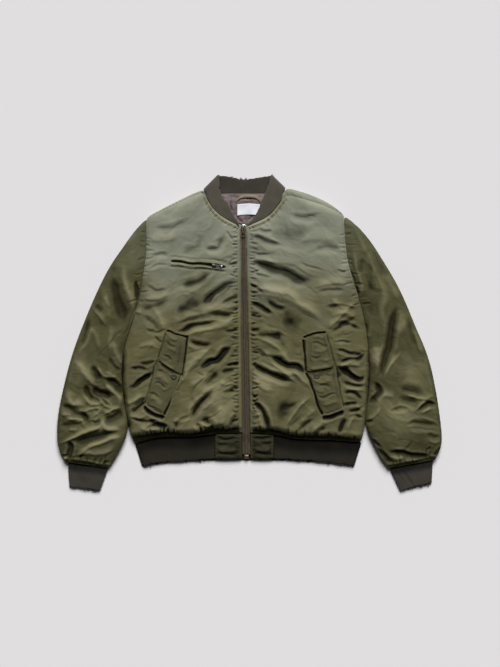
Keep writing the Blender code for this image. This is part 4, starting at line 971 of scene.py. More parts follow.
def hollow_underside(made, folds, top_seed):
    """Presses folds up into the underside, and rumples what faces up a little."""
    mesh = made.data
    points, normals = read_points(mesh), read_normals(mesh)
    x, y = points[:, 0], points[:, 1]
    hollow = np.maximum(0, crease_height(x, y, folds))
    facing_down = soft_step(0.3, 0.8, -normals[:, 2])
    facing_up = soft_step(0.2, 0.7, normals[:, 2])
    points[:, 2] += np.minimum(hollow, 5.5) * facing_down
    points[:, 2] += (0.5 * rumple(x, y, 26, top_seed) + 0.3 * rumple(x, y, 11, top_seed + 1)) * facing_up
    write_points(mesh, points)
    # Painted shade: the fold mask darkens the pressed hollows of the underside.
    write_mask(mesh, "fold", np.clip(-hollow * facing_down / 9, -1, 1))
    mesh.shade_smooth()
    return made


# %% The back and the under halves
back = hollow_underside(cloth_from("back_panel", "back_shell", body_nylon, 4.1), BACK_FOLDS, 72)
settle(back, "jacket", "nylon", "back_panel")
mirrored = [(w, h, *[(-x, y) for x, y in line]) for w, h, *line in SLEEVE_UNDER_FOLDS]
under_right = hollow_underside(cloth_from("sleeve_right_under", "sleeve_right_lower", arm_nylon, 3.5),
                               mirrored, 74)
under_left = hollow_underside(cloth_from("sleeve_left_under", "sleeve_left_lower", arm_nylon, 3.5),
                              SLEEVE_UNDER_FOLDS, 76)
settle(under_right, "jacket", "sleeve_nylon", "sleeve_right_under")
settle(under_left, "jacket", "sleeve_nylon", "sleeve_left_under")
print("back:", len(back.data.polygons), "faces")

# %% [markdown]
# The collar, cuffs and hem are rib knit: bands whose ribs run from the sewn edge to the free edge.
# Each band is swept through sections, a seam point and a free point at a height, and its faces
# rise and fall once a rib. Wear has frayed the free edges, so they are nicked here and there.

# %% Sections of the bands
# Each row is one section: the seam point x, y, then the free point x, y.
HEM_RIGHT = [(-88.6, -252, -88.6, -316), (-120, -257, -120, -318.5), (-152, -261.6, -152, -321),
             (-226, -259, -226, -326), (-268, -268, -252, -332), (-278, -273, -262, -334)]
HEM_LEFT = [(61.6, -254.6, 62, -316), (106, -265, 106, -318), (151, -266.5, 151, -321),
            (200, -269, 200, -326), (271, -273, 255, -333)]
HEM_BACK = [(-200, -256.6, -200, -324), (-88, -251.1, -88, -320), (60, -251.1, 60, -320),
            (200, -263.6, 200, -325)]
HEM_TURN_RIGHT = ((-282, -278), (-265, -334.5))
HEM_TURN_LEFT = ((275, -276), (258, -334.5))
COLLAR_RIGHT = [(-25.5, 267, -29, 276), (-47, 277.5, -39, 291), (-69, 289.5, -49, 307), (-85, 304, -58, 320),
                (-97, 318, -66, 335), (-106, 338, -74, 354), (-108, 348, -75, 376)]
COLLAR_BACK = [(-90, 351.5, -62, 392), (-50, 346.6, -37, 387), (-12, 344.6, -12, 384), (26, 346.6, 14, 387),
               (64, 348.8, 38, 391)]
COLLAR_LEFT = [(82, 350, 49, 378), (80, 336, 40, 352), (69, 318, 30, 330), (58, 304, 24, 314),
               (38, 287, 15, 295), (16, 277, 8, 284), (-6.5, 267.5, -1, 276)]
COLLAR_TURN_RIGHT = ((-114.5, 357.5), (-77.5, 394.5))
COLLAR_TURN_LEFT = ((88.5, 360.5), (53.5, 394.5))
CUFF_RIGHT = ((-456, -326), (-354, -341), (-452, -386), (-374, -395.6))
CUFF_LEFT = ((350, -340.5), (459, -321), (376, -395.6), (456, -377))


def over_fold(line, low, high, radius, facing, steps=6):
    """Sections that turn over a folded edge, from the upper layer to the lower one."""
    seam, free = (Vector(p) for p in line)
    out = Vector((-(free - seam).y, (free - seam).x)).normalized()
    out = out if out.x * facing > 0 else -out
    found = []
    for k in range(1, steps):
        angle = math.pi * k / steps
        shift = out * (math.sin(angle) - 1) * radius
        z = (low + high) / 2 + (high - low) / 2 * math.cos(angle)
        found.append(((*(seam + shift), z), (*(free + shift), z)))
    return found


def at_height(rows, z, lift=0.0):
    return [((a, b, z), (c, d, z + lift)) for a, b, c, d in rows]


# %% A rib band
RIB_PITCH = 3.9
RIB_STEPS = 6


def smooth_through(points, closed, steps=10):
    p = np.array(points, float)
    ends = (p[-1], p[0], p[1]) if closed else (2 * p[0] - p[1], 2 * p[-1] - p[-2])
    p = np.vstack([ends[0], p, *ends[1:]])
    t = (np.arange(steps) / steps)[:, None]
    runs = [0.5 * (2 * b + (c - a) * t + (2 * a - 5 * b + 4 * c - d) * t ** 2
                   + (3 * b - a - 3 * c + d) * t ** 3)
            for a, b, c, d in zip(p, p[1:], p[2:], p[3:])]
    return np.vstack([*runs, p[-2]])


def rib_band(name, sections, thick, finish, closed=False, rows=14, nicks=(), creases=(), wave=1.0, seed=0):
    seam = smooth_through([s for s, _ in sections], closed)
    free = smooth_through([f for _, f in sections], closed)
    middle = (seam + free) / 2
    walked = np.concatenate([[0], np.cumsum(np.linalg.norm(np.diff(middle, axis=0), axis=1))])
    ribs = round(walked[-1] / RIB_PITCH)
    count = ribs * RIB_STEPS + (0 if closed else 1)
    s = np.arange(count) * walked[-1] / (ribs * RIB_STEPS)
    seam = np.stack([np.interp(s, walked, seam[:, k]) for k in range(3)], 1)
    free = np.stack([np.interp(s, walked, free[:, k]) for k in range(3)], 1)
    deep = np.linalg.norm(free - seam, axis=1)
    uneven = 0.7 * rumple(s, 0 * s, 9, 80 + seed) + 0.5 * rumple(s, 0 * s, 3.1, 81 + seed)
    cut = uneven.copy()
    for x, y, radius, depth in nicks:
        gap = np.hypot(free[:, 0] - x, free[:, 1] - y)
        cut += depth * np.exp(-(gap / radius) ** 2) * (0.75 + 0.5 * rumple(s, 0 * s, 2.2, 82 + seed))
    free = free + (seam - free) / deep[:, None] * cut[:, None]
    v = np.concatenate([[0, 0.03], np.linspace(0.08, 0.93, rows - 5), [0.965, 0.988, 1.0]])
    grid = seam[:, None] + (free - seam)[:, None] * v[None, :, None]
    across = v[None, :] * deep[:, None]
    ahead = np.roll(grid, -1, 0) - np.roll(grid, 1, 0)
    if not closed:
        ahead[0], ahead[-1] = grid[1] - grid[0], grid[-1] - grid[-2]
    normal = np.cross(ahead, (free - seam)[:, None])
    normal /= np.linalg.norm(normal, axis=2)[:, :, None]
    phase = s[:, None] + 1.0 * rumple(s[:, None] * 0.2 + 0 * across, across, 17, 83 + seed)
    crown = np.abs(np.sin(math.pi * phase / RIB_PITCH)) ** 0.75
    to_end = deep[:, None] - across
    end = np.sqrt(np.clip(1 - (1 - np.clip(to_end / (thick * 0.55), 0, 1)) ** 2, 0.02, 1))
    sewn = 0.72 + 0.28 * soft_step(0, 5, across)
    half = (thick / 2 - 0.25 + 0.62 * (crown - 0.5)) * end * sewn
    drape = wave * (0.55 * rumple(grid[:, :, 0], grid[:, :, 1], 34, 84 + seed)
                    + 0.35 * rumple(grid[:, :, 0], grid[:, :, 1], 13, 85 + seed))
    drape = drape + crease_height(grid[:, :, 0].ravel(), grid[:, :, 1].ravel(), creases).reshape(drape.shape)
    upward = np.clip(np.abs(normal[:, :, 2:]), 0, 1) * (grid[:, :, 2:] > 5.2)
    grid = grid + np.array([0, 0, 1.0]) * drape[:, :, None] * upward
    outer, inner = grid + normal * half[:, :, None], grid - normal * half[:, :, None]
    wide, size = len(v), count * len(v)
    verts = np.vstack([outer.reshape(-1, 3), inner.reshape(-1, 3)])
    faces = []
    for i in range(count if closed else count - 1):
        a, b = i * wide, (i + 1) % count * wide
        for k in range(wide - 1):
            faces.append((a + k, b + k, b + k + 1, a + k + 1))
            faces.append((size + a + k, size + a + k + 1, size + b + k + 1, size + b + k))
        faces.append((a, size + a, size + b, b))
        faces.append((b + wide - 1, size + b + wide - 1, size + a + wide - 1, a + wide - 1))
    for i in () if closed else (0, count - 1):
        for k in range(wide - 1):
            a = i * wide + k
            faces.append((a, a + 1, size + a + 1, size + a) if i else (a, size + a, size + a + 1, a + 1))
    made = piece(name, verts, faces, finish)
    shape = bmesh.new()
    shape.from_mesh(made.data)
    bmesh.ops.recalc_face_normals(shape, faces=shape.faces)
    shape.to_mesh(made.data)
    shape.free()
    write_mask(made.data, "rib", np.tile((crown * end).ravel(), 2))
    write_mask(made.data, "across", np.tile(across.ravel(), 2))
    print(name, ribs, "ribs,", len(faces), "faces")
    return made


# %% The hem, the cuffs and the collar
RIB_THICK = 4.0
LOW, HIGH, TURN = 2.0, 7.2, 2.6
hem_sections = (at_height(HEM_RIGHT, HIGH) + over_fold(HEM_TURN_RIGHT, LOW, HIGH, TURN, -1)
                + at_height(HEM_BACK, LOW)
                + over_fold(HEM_TURN_LEFT, LOW, HIGH, TURN, 1)[::-1] + at_height(HEM_LEFT[::-1], HIGH))
HEM_NICKS = [(-247, -331, 4, 3.5), (-206, -324, 3, 2.5), (-160, -321, 5, 2.0), (-118, -318, 3, 2.2),
             (96, -317, 4, 2.4), (150, -321, 3, 3.0), (196, -326, 5, 2.2), (236, -330, 3, 3.2)]
hem = rib_band("hem_band", hem_sections, RIB_THICK, shaded_hem_knit, rows=15, nicks=HEM_NICKS, wave=1.0, seed=1)
settle(hem, "jacket", "rib_knit", "hem_rib")


def cuff_sections(corners):
    top_a, top_b, foot_a, foot_b = (Vector(p) for p in corners)
    step_in = (top_b - top_a).normalized() * (RIB_THICK / 2 + 0.2)
    a, b = (top_a + step_in, foot_a + step_in), (top_b - step_in, foot_b - step_in)
    shares = [0.06 + 0.88 * k / 6 for k in range(7)]
    upper = [((*a[0].lerp(b[0], t), HIGH), (*a[1].lerp(b[1], t), HIGH)) for t in shares]
    lower = [((*b[0].lerp(a[0], t), LOW), (*b[1].lerp(a[1], t), LOW)) for t in shares]
    return (upper + over_fold(b, LOW, HIGH, TURN, 1) + lower
            + over_fold(a, LOW, HIGH, TURN, -1)[::-1])


cuff_right = rib_band("cuff_right_band", cuff_sections(CUFF_RIGHT), RIB_THICK, cuff_knit, closed=True,
                      nicks=[(-408, -392, 6, 3.0), (-392, -394, 3, 2.4), (-432, -389, 4, 1.8)],
                      creases=[(6, -1.2, (-440, -340), (-420, -366), (-414, -384))], seed=2)
cuff_left = rib_band("cuff_left_band", cuff_sections(CUFF_LEFT), RIB_THICK, cuff_knit, closed=True,
                     nicks=[(412, -388, 4, 4.0), (424, -386, 3, 3.4), (437, -384, 3, 4.2), (398, -392, 6, 2.4),
                            (448, -380, 3, 3.0)],
                     creases=[(4, -2.0, (372, -338), (390, -356), (403, -372), (410, -386)),
                              (3.5, -1.0, (358, -340), (380, -362), (396, -376))], seed=3)
settle(cuff_right, "jacket", "rib_knit", "cuff_right")
settle(cuff_left, "jacket", "rib_knit", "cuff_left")

COLLAR_THICK, COLLAR_LOW, COLLAR_TURN = 4.4, 2.5, 5.6
COLLAR_HIGH = COLLAR_LOW + 2 * COLLAR_TURN + 2.2
collar_sections = (at_height(COLLAR_RIGHT, COLLAR_HIGH - 0.2, 0.8)
                   + over_fold(COLLAR_TURN_RIGHT, COLLAR_LOW, COLLAR_HIGH, COLLAR_TURN, -1)
                   + at_height(COLLAR_BACK, COLLAR_LOW)
                   + over_fold(COLLAR_TURN_LEFT, COLLAR_LOW, COLLAR_HIGH, COLLAR_TURN, 1)[::-1]
                   + at_height(COLLAR_LEFT, COLLAR_HIGH - 0.2, 0.8))
COLLAR_NICKS = [(-77, 388, 3, 3.0), (-72, 362, 3.5, 3.0), (-22, 385, 2.5, 2.6), (-10, 384, 2.5, 2.6),
                (54, 391, 3, 3.2), (50, 362, 3, 3.0), (22, 386, 3, 1.8), (-45, 389, 4, 1.6)]
collar = rib_band("collar_band", collar_sections, COLLAR_THICK, collar_knit, rows=16, nicks=COLLAR_NICKS,
                  wave=0.7, seed=4)
settle(collar, "jacket", "rib_knit", "collar_rib")

# %% [markdown]
# Beside the zip the hem is nylon, not knit: two padded blocks with a quilting crease or two
# across them. The hand pockets are patches with a flap each, piped down the outer edge, and a
# stitched band runs down the flaps on the side of the zip.

# %% Hem blocks
BLOCK_RIGHT_FOLDS = [
    (4, -3.0, (-86, -262), (-60, -266), (-28, -262)),
    (5, 2.4, (-84, -292), (-54, -296), (-24, -290)),
    (4, -2.6, (-84, -301), (-52, -304), (-24, -300)),
    (4, -2.2, (-84, -278), (-66, -280), (-48, -276)),
]
BLOCK_LEFT_FOLDS = [
    (4, -3.0, (6, -262), (30, -266), (58, -261)),
    (5, 2.4, (6, -290), (32, -296), (58, -292)),
    (4, -2.6, (6, -300), (34, -304), (58, -301)),
    (4, -2.2, (24, -276), (44, -279), (58, -277)),
]
BLOCK_RIGHT_FOLDS += puckers([(-25, -256), (-24, -314)], (-1, 0), 8, 14, 1.8, 91)
BLOCK_RIGHT_FOLDS += puckers([(-85, -256), (-85, -314)], (1, 0), 8, 12, 1.6, 92)
BLOCK_LEFT_FOLDS += puckers([(3, -256), (3, -314)], (1, 0), 8, 14, 1.8, 93)
BLOCK_LEFT_FOLDS += puckers([(58, -256), (58, -314)], (-1, 0), 8, 12, 1.6, 94)
block_right = fold_panel(cloth_from("hem_block_right", "hem_block_right_shell", shaded_block_nylon, 1.5, grow=1.2),
                         BLOCK_RIGHT_FOLDS, [], 5.2, lumps=0.35, seed=95)
block_left = fold_panel(cloth_from("hem_block_left", "hem_block_left_shell", shaded_block_nylon, 1.5, grow=1.2),
                        BLOCK_LEFT_FOLDS, [], 5.2, lumps=0.35, seed=97)
settle(block_right, "jacket", "nylon", "hem_block_right")
settle(block_left, "jacket", "nylon", "hem_block_left")

# %% Pocket patches and flaps
PATCH_RIGHT_FOLDS = [
    (4, -2.2, (-236, -96), (-214, -98), (-190, -116)),
    (6, 2.6, (-242, -112), (-222, -112), (-196, -132)),
    (3, -2.2, (-240, -126), (-226, -124), (-214, -136), (-206, -134)),
    (5, 1.6, (-222, -146), (-206, -140), (-196, -128)),
    (3, -2.4, (-256, -150), (-238, -154), (-224, -168)),
    (6, 2.4, (-252, -166), (-236, -168), (-222, -186)),
    (3, -1.8, (-250, -186), (-232, -190), (-220, -200)),
]
FLAP_RIGHT_FOLDS = [
    (3, -1.6, (-171, -14), (-178, -60), (-182, -100)),
    (6, 2.4, (-206, -6), (-192, -16), (-176, -18)),
    (3, -2.0, (-210, -20), (-196, -32), (-180, -36)),
    (5, 1.4, (-206, -44), (-194, -42), (-184, -50)),
    (3, -2.0, (-220, -56), (-206, -60), (-194, -72)),
    (4, 2.4, (-226, -70), (-206, -84), (-182, -98)),
]
PATCH_LEFT_FOLDS = [
    (4, -2.4, (146, -102), (166, -108), (184, -104), (208, -112)),
    (6, 2.6, (152, -116), (176, -124), (212, -120)),
    (3, -2.2, (170, -134), (188, -130), (204, -136)),
    (5, 1.6, (160, -138), (174, -148), (190, -146)),
    (3, -2.4, (168, -158), (186, -162), (206, -152), (222, -154)),
    (6, 2.2, (178, -176), (196, -180), (226, -168)),
    (3, -1.6, (206, -92), (216, -140), (226, -182)),
]
FLAP_LEFT_FOLDS = [
    (3, -1.6, (147, -16), (150, -54), (153, -88)),
    (5, 2.2, (156, -14), (170, -10), (188, -16)),
    (3, -2.0, (150, -30), (166, -24), (184, -32), (194, -30)),
    (5, 1.8, (158, -42), (178, -46), (198, -40)),
    (3, -2.2, (152, -58), (166, -62), (180, -56)),
    (5, 1.4, (178, -66), (190, -70), (204, -64)),
    (5, 2.6, (146, -88), (176, -92), (208, -84)),
    (3, -1.6, (180, -8), (192, -44), (202, -78)),
]
# Under each flap's lower edge the patch has a deep trough, which the fold mask paints dark as the flap's
# painted shadow.
PATCH_RIGHT_FOLDS += [(4.0, -4.5, (-230, -68), (-204, -92), (-172, -108))]
PATCH_LEFT_FOLDS += [(4.0, -4.0, (140, -101), (176, -101), (212, -92))]
pockets = {}
for node, folds, cell, seed in (
        ("pocket_patch_right", PATCH_RIGHT_FOLDS, 1.5, 101),
        ("pocket_patch_left", PATCH_LEFT_FOLDS, 1.5, 103),
        ("pocket_flap_right", FLAP_RIGHT_FOLDS, 1.3, 105),
        ("pocket_flap_left", FLAP_LEFT_FOLDS, 1.3, 107)):
    made = cloth_from(node, node + "_shell", pocket_nylon, cell, smoothing=3, grow=1.0)
    pockets[node] = fold_panel(made, folds, [], 11.3, lumps=0.9, seed=seed)
    settle(made, "jacket", "nylon", node)
    print(made.name, len(made.data.polygons), "faces")

# %% [markdown]
# The lining shows only inside the neck: a thin satin that puckers along its seams. It runs on
# down behind the back's edge to the collar. The hanger loop is a strip of shell cloth, sewn down at both
# ends, and the woven label is bare: it curls a little away from its stitches.


# %% Thin cloth from rows of points
def thin_cloth(name, rows, thick, finish):
    """A thin closed sheet over a grid of points, made smooth, with its underside this far below."""
    grid = np.array(rows, float)
    high, wide = grid.shape[:2]
    top = grid.reshape(-1, 3)
    low = top - np.array([0, 0, thick])
    size = high * wide
    faces = []
    for j in range(high - 1):
        for i in range(wide - 1):
            a, b = j * wide + i, (j + 1) * wide + i
            faces += [(a, a + 1, b + 1, b), (size + a, size + b, size + b + 1, size + a + 1)]
    rim = ([*range(wide)] + [j * wide + wide - 1 for j in range(1, high)]
           + [(high - 1) * wide + i for i in range(wide - 2, -1, -1)]
           + [j * wide for j in range(high - 2, 0, -1)])
    for a, b in zip(rim, rim[1:] + rim[:1]):
        faces.append((a, size + a, size + b, b))
    made = piece(name, np.vstack([top, low]), faces, finish)
    shape = bmesh.new()
    shape.from_mesh(made.data)
    bmesh.ops.recalc_face_normals(shape, faces=shape.faces)
    shape.to_mesh(made.data)
    shape.free()
    return made


# %% The lining in the neck
LINING_TOP = 12.9
LINING_FOLDS = [(3.5, -3.0, (-64, 330), (-56, 312), (-44, 296)),
                (3, -2.4, (-50, 340), (-46, 318), (-40, 300)),
                (3, -3.0, (34, 336), (33, 318), (26, 300)), (3.5, -2.6, (-34, 296), (-24, 284), (-16, 276)),
                (3, -2.2, (14, 300), (4, 288), (-6, 280)), (2.5, -1.8, (-60, 318), (-50, 308), (-40, 306)),
                (3, -2.0, (40, 326), (30, 312), (28, 304)), (4, -2.6, (-72, 344), (-10, 340), (44, 344))]
rows, shades = [], []
for t in np.linspace(0, 1, 46):
    y = 270 + 78 * t
    right = np.interp(y, [270, 278, 318, 348], [-14, -38, -67, -74])
    left = np.interp(y, [270, 278, 318, 348], [-12, 12, 42, 48])
    x = np.linspace(right, left, 70)
    fold = crease_height(x, np.full(70, y), LINING_FOLDS)
    # The lining's fold mask paints shade in its creases, and a little light and shade at random.
    shades.append(fold / 3.2 + 0.35 * rumple(x, x * 0 + y, 9, 125))
    z = LINING_TOP - 7.5 * soft_step(341.5, 348, np.full(70, y))
    z = z + 0.9 * rumple(x, x * 0 + y, 15, 121) + 0.5 * rumple(x, x * 0 + y, 6, 122) + 0.5 * fold
    z = z - 0.9 * np.exp(-((y - 338) / 6) ** 2) * (1 + np.sin(x * 0.9 + 2 * rumple(x, x * 0, 9, 123)))
    rows.append(np.stack([x, np.full(70, y), np.maximum(z, 5.2)], 1))
lining = thin_cloth("neck_lining_satin", rows, 0.8, lining_satin)
write_mask(lining.data, "fold", np.tile(np.clip(np.concatenate(shades), -1, 1), 2))
settle(lining, "jacket", "lining", "neck_lining")

# %% The hanger loop
rows = []
for u in np.linspace(-1, 1, 41):
    x = -3 + 32 * u
    middle = 341 - 12 * u ** 4 - 2.5 * u ** 2
    lift = 14.6 + 1.6 * math.cos(math.pi * u / 2) ** 0.7
    rows.append([(x + 0.4 * v, middle + 3.6 * v, lift + 0.5 * math.cos(math.pi * v / 2))
                 for v in (-1, -0.8, -0.3, 0.3, 0.8, 1)])
loop = thin_cloth("hanger_loop_strip", rows, 1.0, loop_nylon)
# Painted light and shade across the strip: its edges darker, the rolls just inside them lighter.
write_mask(loop.data, "fold", np.tile([-0.25, 0.3, 0, 0, 0.3, -0.25], 82)[:len(loop.data.vertices)])
settle(loop, "jacket", "nylon", "hanger_loop")

# %% The bare label
rows = []
for t in np.linspace(0, 1, 15):
    row = []
    for u in np.linspace(-1, 1, 29):
        curl = 1.2 * max(0.0, abs(u) - 0.55) ** 2 / 0.2 + 0.5 * (1 - t) ** 2
        level = 14.4 + curl + 0.25 * math.sin(5 * u + 2 * t)
        row.append((-2.5 + 28.5 * u, 294.5 + 28 * t - 2.5 * u * u, level))
    rows.append(row)
label = thin_cloth("neck_label_bare", rows, 0.5, label_weave)
write_mask(label.data, "fold", np.zeros(len(label.data.vertices)))
settle(label, "jacket", "woven_label", "neck_label")
print("neck pieces done")

# %% [markdown]
# The zip is two twill tapes with brass teeth between them. They lie over the back first and then
# lower, between the two hem blocks. A tooth is modelled once, as a block with softened edges, and
# set alternately left and right.

# %% The two tapes
for name, facing in (("zip_tape_right", -1), ("zip_tape_left", 1)):
    rows = []
    for y in np.linspace(260, -306, 190):
        outer = zip_x(y) + facing * (zip_half(y) - 0.2)
        inner = zip_x(y) + facing * 2.4
        x = np.linspace(inner, outer, 8)
        wave = 0.35 * rumple(x, x * 0 + y, 14, 131) + 0.25 * rumple(x, x * 0 + y, 5, 132)
        z = zip_level(y) + 1.5 + wave + 0.5 * np.linspace(0, 1, 8) ** 2
        rows.append(np.stack([x, np.full(8, y), z], 1))
    tape = thin_cloth(name + "_twill", rows, 1.3, tape_twill)
    write_mask(tape.data, "fold", np.zeros(len(tape.data.vertices)))
    settle(tape, "jacket", "zip_tape", name)


# %% Small shapes that repeat
def soft_block(sides, edge, steps=1):
    """A block of these sides at the origin, with its edges bevelled. Returns its points and faces."""
    bpy.ops.object.select_all(action="DESELECT")
    bpy.ops.mesh.primitive_cube_add(size=1)
    made = bpy.context.object
    made.scale = sides
    bpy.ops.object.transform_apply(scale=True)
    bpy.ops.object.mode_set(mode="EDIT")
    bpy.ops.mesh.select_all(action="SELECT")
    bpy.ops.mesh.bevel(offset=edge, segments=steps, affect="EDGES")
    bpy.ops.object.mode_set(mode="OBJECT")
    return take_shape(made)


def take_shape(made):
    points = np.array([v.co for v in made.data.vertices])
    faces = [list(p.vertices) for p in made.data.polygons]
    bpy.data.meshes.remove(made.data)
    return points, faces


def set_out(name, shape, places, finish, smooth=True):
    """One mesh with a copy of a small shape at every place. A place is a matrix, in millimetres."""
    points, faces = shape
    ones = np.hstack([points, np.ones((len(points), 1))])
    verts = np.vstack([(ones @ np.array(m).T)[:, :3] for m in places])
    step = len(points)
    every = [[v + k * step for v in f] for k in range(len(places)) for f in faces]
    return piece(name, verts, every, finish, smooth)


# %% The brass teeth
TOOTH_PITCH = 3.0
tooth = soft_block((4.3, 1.75, 2.7), 0.42)
draw = np.random.default_rng(141)
places = []
for k, y in enumerate(np.arange(252.5, -303.5, -TOOTH_PITCH / 2)):
    side = 1 if k % 2 else -1
    lift = zip_level(y) + 2.0 + draw.normal(0, 0.05)
    turn = Matrix.Rotation(draw.normal(0, 0.035), 4, "Z") @ Matrix.Rotation(side * 0.10, 4, "Y")
    places.append(Matrix.Translation((zip_x(y) + side * 1.35, y, lift)) @ turn)
teeth = set_out("zip_teeth", tooth, places, old_brass, smooth=False)
settle(teeth, "jacket", "brass", "zip_chain")
print(len(places), "teeth")

small_tooth = soft_block((1.1, 2.6, 1.5), 0.25)
CHEST_RIGHT, CHEST_LEFT = Vector((-196, 178.5)), Vector((-61, 164))
chest_run = (CHEST_LEFT - CHEST_RIGHT).normalized()
chest_turn = math.atan2(chest_run.y, chest_run.x)
places = []
for k in range(44):
    at = CHEST_RIGHT + chest_run * (6 + 2.1 * k)
    side = 0.9 if k % 2 else -0.9
    at = at + Vector((-chest_run.y, chest_run.x)) * side * 0.5
    places.append(Matrix.Translation((*at, 0)) @ Matrix.Rotation(chest_turn, 4, "Z"))
chest_places = places

# %% [markdown]
# The sliders, pulls, end stop and snaps are cast metal. A casting has no sharp edge, so each one
# is its solid with its corners rounded, and the snaps get the turned rim and dimple of a cap.


# %% Cast metal
def cast(node, name, finish, body, edge):
    """The solid of this node with every sharp edge rounded."""
    mesh = nodes[node].data.copy()
    mesh.name = name
    mesh.materials.clear()
    mesh.materials.append(finish)
    made = bpy.data.objects.new(name, mesh)
    bpy.context.scene.collection.objects.link(made)
    shape = bmesh.new()
    shape.from_mesh(mesh)
    bmesh.ops.remove_doubles(shape, verts=shape.verts, dist=1e-5)
    bmesh.ops.dissolve_limit(shape, angle_limit=math.radians(3), verts=shape.verts, edges=shape.edges)
    shape.to_mesh(mesh)
    shape.free()
    rounding = made.modifiers.new("round", "BEVEL")
    rounding.width = edge * MM
    rounding.segments = 2
    rounding.limit_method = "ANGLE"
    rounding.angle_limit = math.radians(32)
    apply_all(made)
    bpy.ops.object.shade_smooth_by_angle(angle=math.radians(40))
    settle(made, body, "gunmetal", node)
    return made


cast("zip_slider", "zip_slider_cast", nickel, "jacket", 0.35)
cast("zip_pull", "zip_pull_ring", dark_metal, "main_pull", 0.3)
cast("chest_slider", "chest_slider_cast", dark_metal, "jacket", 0.25)
cast("chest_pull", "chest_pull_tab", nickel, "pocket_pull", 0.25)
cast("zip_end_box", "zip_end_stop", old_brass, "jacket", 0.5)


# %% Snap caps
def pick_top(made, reach):
    """Selects the highest level faces within this distance of the middle."""
    bpy.ops.object.mode_set(mode="OBJECT")
    middle = made.matrix_world.inverted() @ made.location
    top = max(f.center.z for f in made.data.polygons if (f.center - middle).xy.length < reach * MM)
    for face in made.data.polygons:
        near = (face.center - middle).xy.length < reach * MM
        face.select = near and abs(face.center.z - top) < 1e-6 and face.normal.z > 0.9
    bpy.ops.object.mode_set(mode="EDIT")


for node in ("snap_right", "snap_left"):
    low, high = (Vector(c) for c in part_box(node))
    middle = (low + high) / 2
    bpy.ops.object.select_all(action="DESELECT")
    bpy.ops.mesh.primitive_cylinder_add(vertices=40, radius=(high.x - low.x) / 2, depth=1.1 * MM,
                                        location=(middle.x, middle.y, low.z + 0.55 * MM))
    cap = bpy.context.object
    cap.name = node + "_cap"
    bpy.ops.object.mode_set(mode="EDIT")
    bpy.ops.mesh.select_mode(type="FACE")
    for inset, rise in ((0.5, 0.55), (1.3, 0.55), (1.9, -0.35), (1.2, -0.25)):
        pick_top(cap, 0.5)
        bpy.ops.mesh.inset(thickness=inset * MM)
        bpy.ops.transform.translate(value=(0, 0, rise * MM))
    bpy.ops.object.mode_set(mode="OBJECT")
    bpy.ops.object.transform_apply(location=True, rotation=True, scale=True)
    rim = cap.modifiers.new("rim", "BEVEL")
    rim.width = 0.2 * MM
    rim.segments = 2
    rim.limit_method = "ANGLE"
    apply_all(cap)
    bpy.ops.object.shade_smooth_by_angle(angle=math.radians(50))
    cap.data.materials.append(painted_cap)
    settle(cap, "jacket", "gunmetal", node)
print("metal pieces done")

# %% [markdown]
# Stitches are short capsules laid on the finished cloth. A ray sent down finds the cloth's height
# under each one, and a second point a stitch ahead gives its slope.


# %% Laying things on the cloth
bpy.context.view_layer.update()
graph = bpy.context.evaluated_depsgraph_get()


def tree_of(obj):
    return BVHTree.FromObject(obj, graph)


def ground(trees):
    """A function that gives the height of the highest of these pieces at a point."""
    def height(x, y):
        found = [t.ray_cast(Vector((x, y, 80)) * MM, Vector((0, 0, -1)))[0] for t in trees]
        levels = [hit.z / MM for hit in found if hit]
        return max(levels) if levels else None
    return height


patch_right, patch_left = pockets["pocket_patch_right"], pockets["pocket_patch_left"]
flap_right, flap_left = pockets["pocket_flap_right"], pockets["pocket_flap_left"]
right_trees = [tree_of(made) for made in (front_right, patch_right, flap_right, block_right)]
left_trees = [tree_of(made) for made in (front_left, patch_left, flap_left, block_left)]
on_right, on_left = ground(right_trees), ground(left_trees)


# %% Lips of the chest pocket
LIP_SHADE = np.interp(np.linspace(0, 1, 9), [0, 0.2, 0.7, 1], [-0.5, 0.1, 0, -0.3])
for node, facing in (("chest_lip_upper", 1), ("chest_lip_lower", -1)):
    rows = []
    for reach in np.linspace(0, 1, 9):
        row = []
        for t in np.linspace(0.01, 0.99, 90):
            opened = 1.4 + 4.4 * math.exp(-((t - 0.85) / 0.12) ** 2)
            away = facing * (opened + (9.2 - opened) * reach)
            x, y = CHEST_RIGHT.lerp(CHEST_LEFT, t) + Vector((-chest_run.y, chest_run.x)) * away
            rolled = 1.5 * math.sin(math.pi * min(1.0, 0.25 + reach * 0.9)) ** 0.8
            creased = 0.35 * float(rumple(np.array(x), np.array(y * 0.3), 6, 112))
            row.append((x, y, on_right(x, y) + 0.5 + rolled + creased))
        rows.append(row)
    lip = thin_cloth(node + "_welt", rows, 0.9, body_nylon)
    write_mask(lip.data, "fold", np.tile(np.repeat(LIP_SHADE, 90), 2))
    settle(lip, "jacket", "nylon", node)

bpy.ops.object.select_all(action="DESELECT")
bpy.ops.mesh.primitive_uv_sphere_add(segments=6, ring_count=5, radius=1)
grain = bpy.context.object
grain.rotation_euler.y = math.pi / 2
bpy.ops.object.transform_apply(rotation=True)
stitch_shape = take_shape(grain)
STITCH_GAP = 3.9


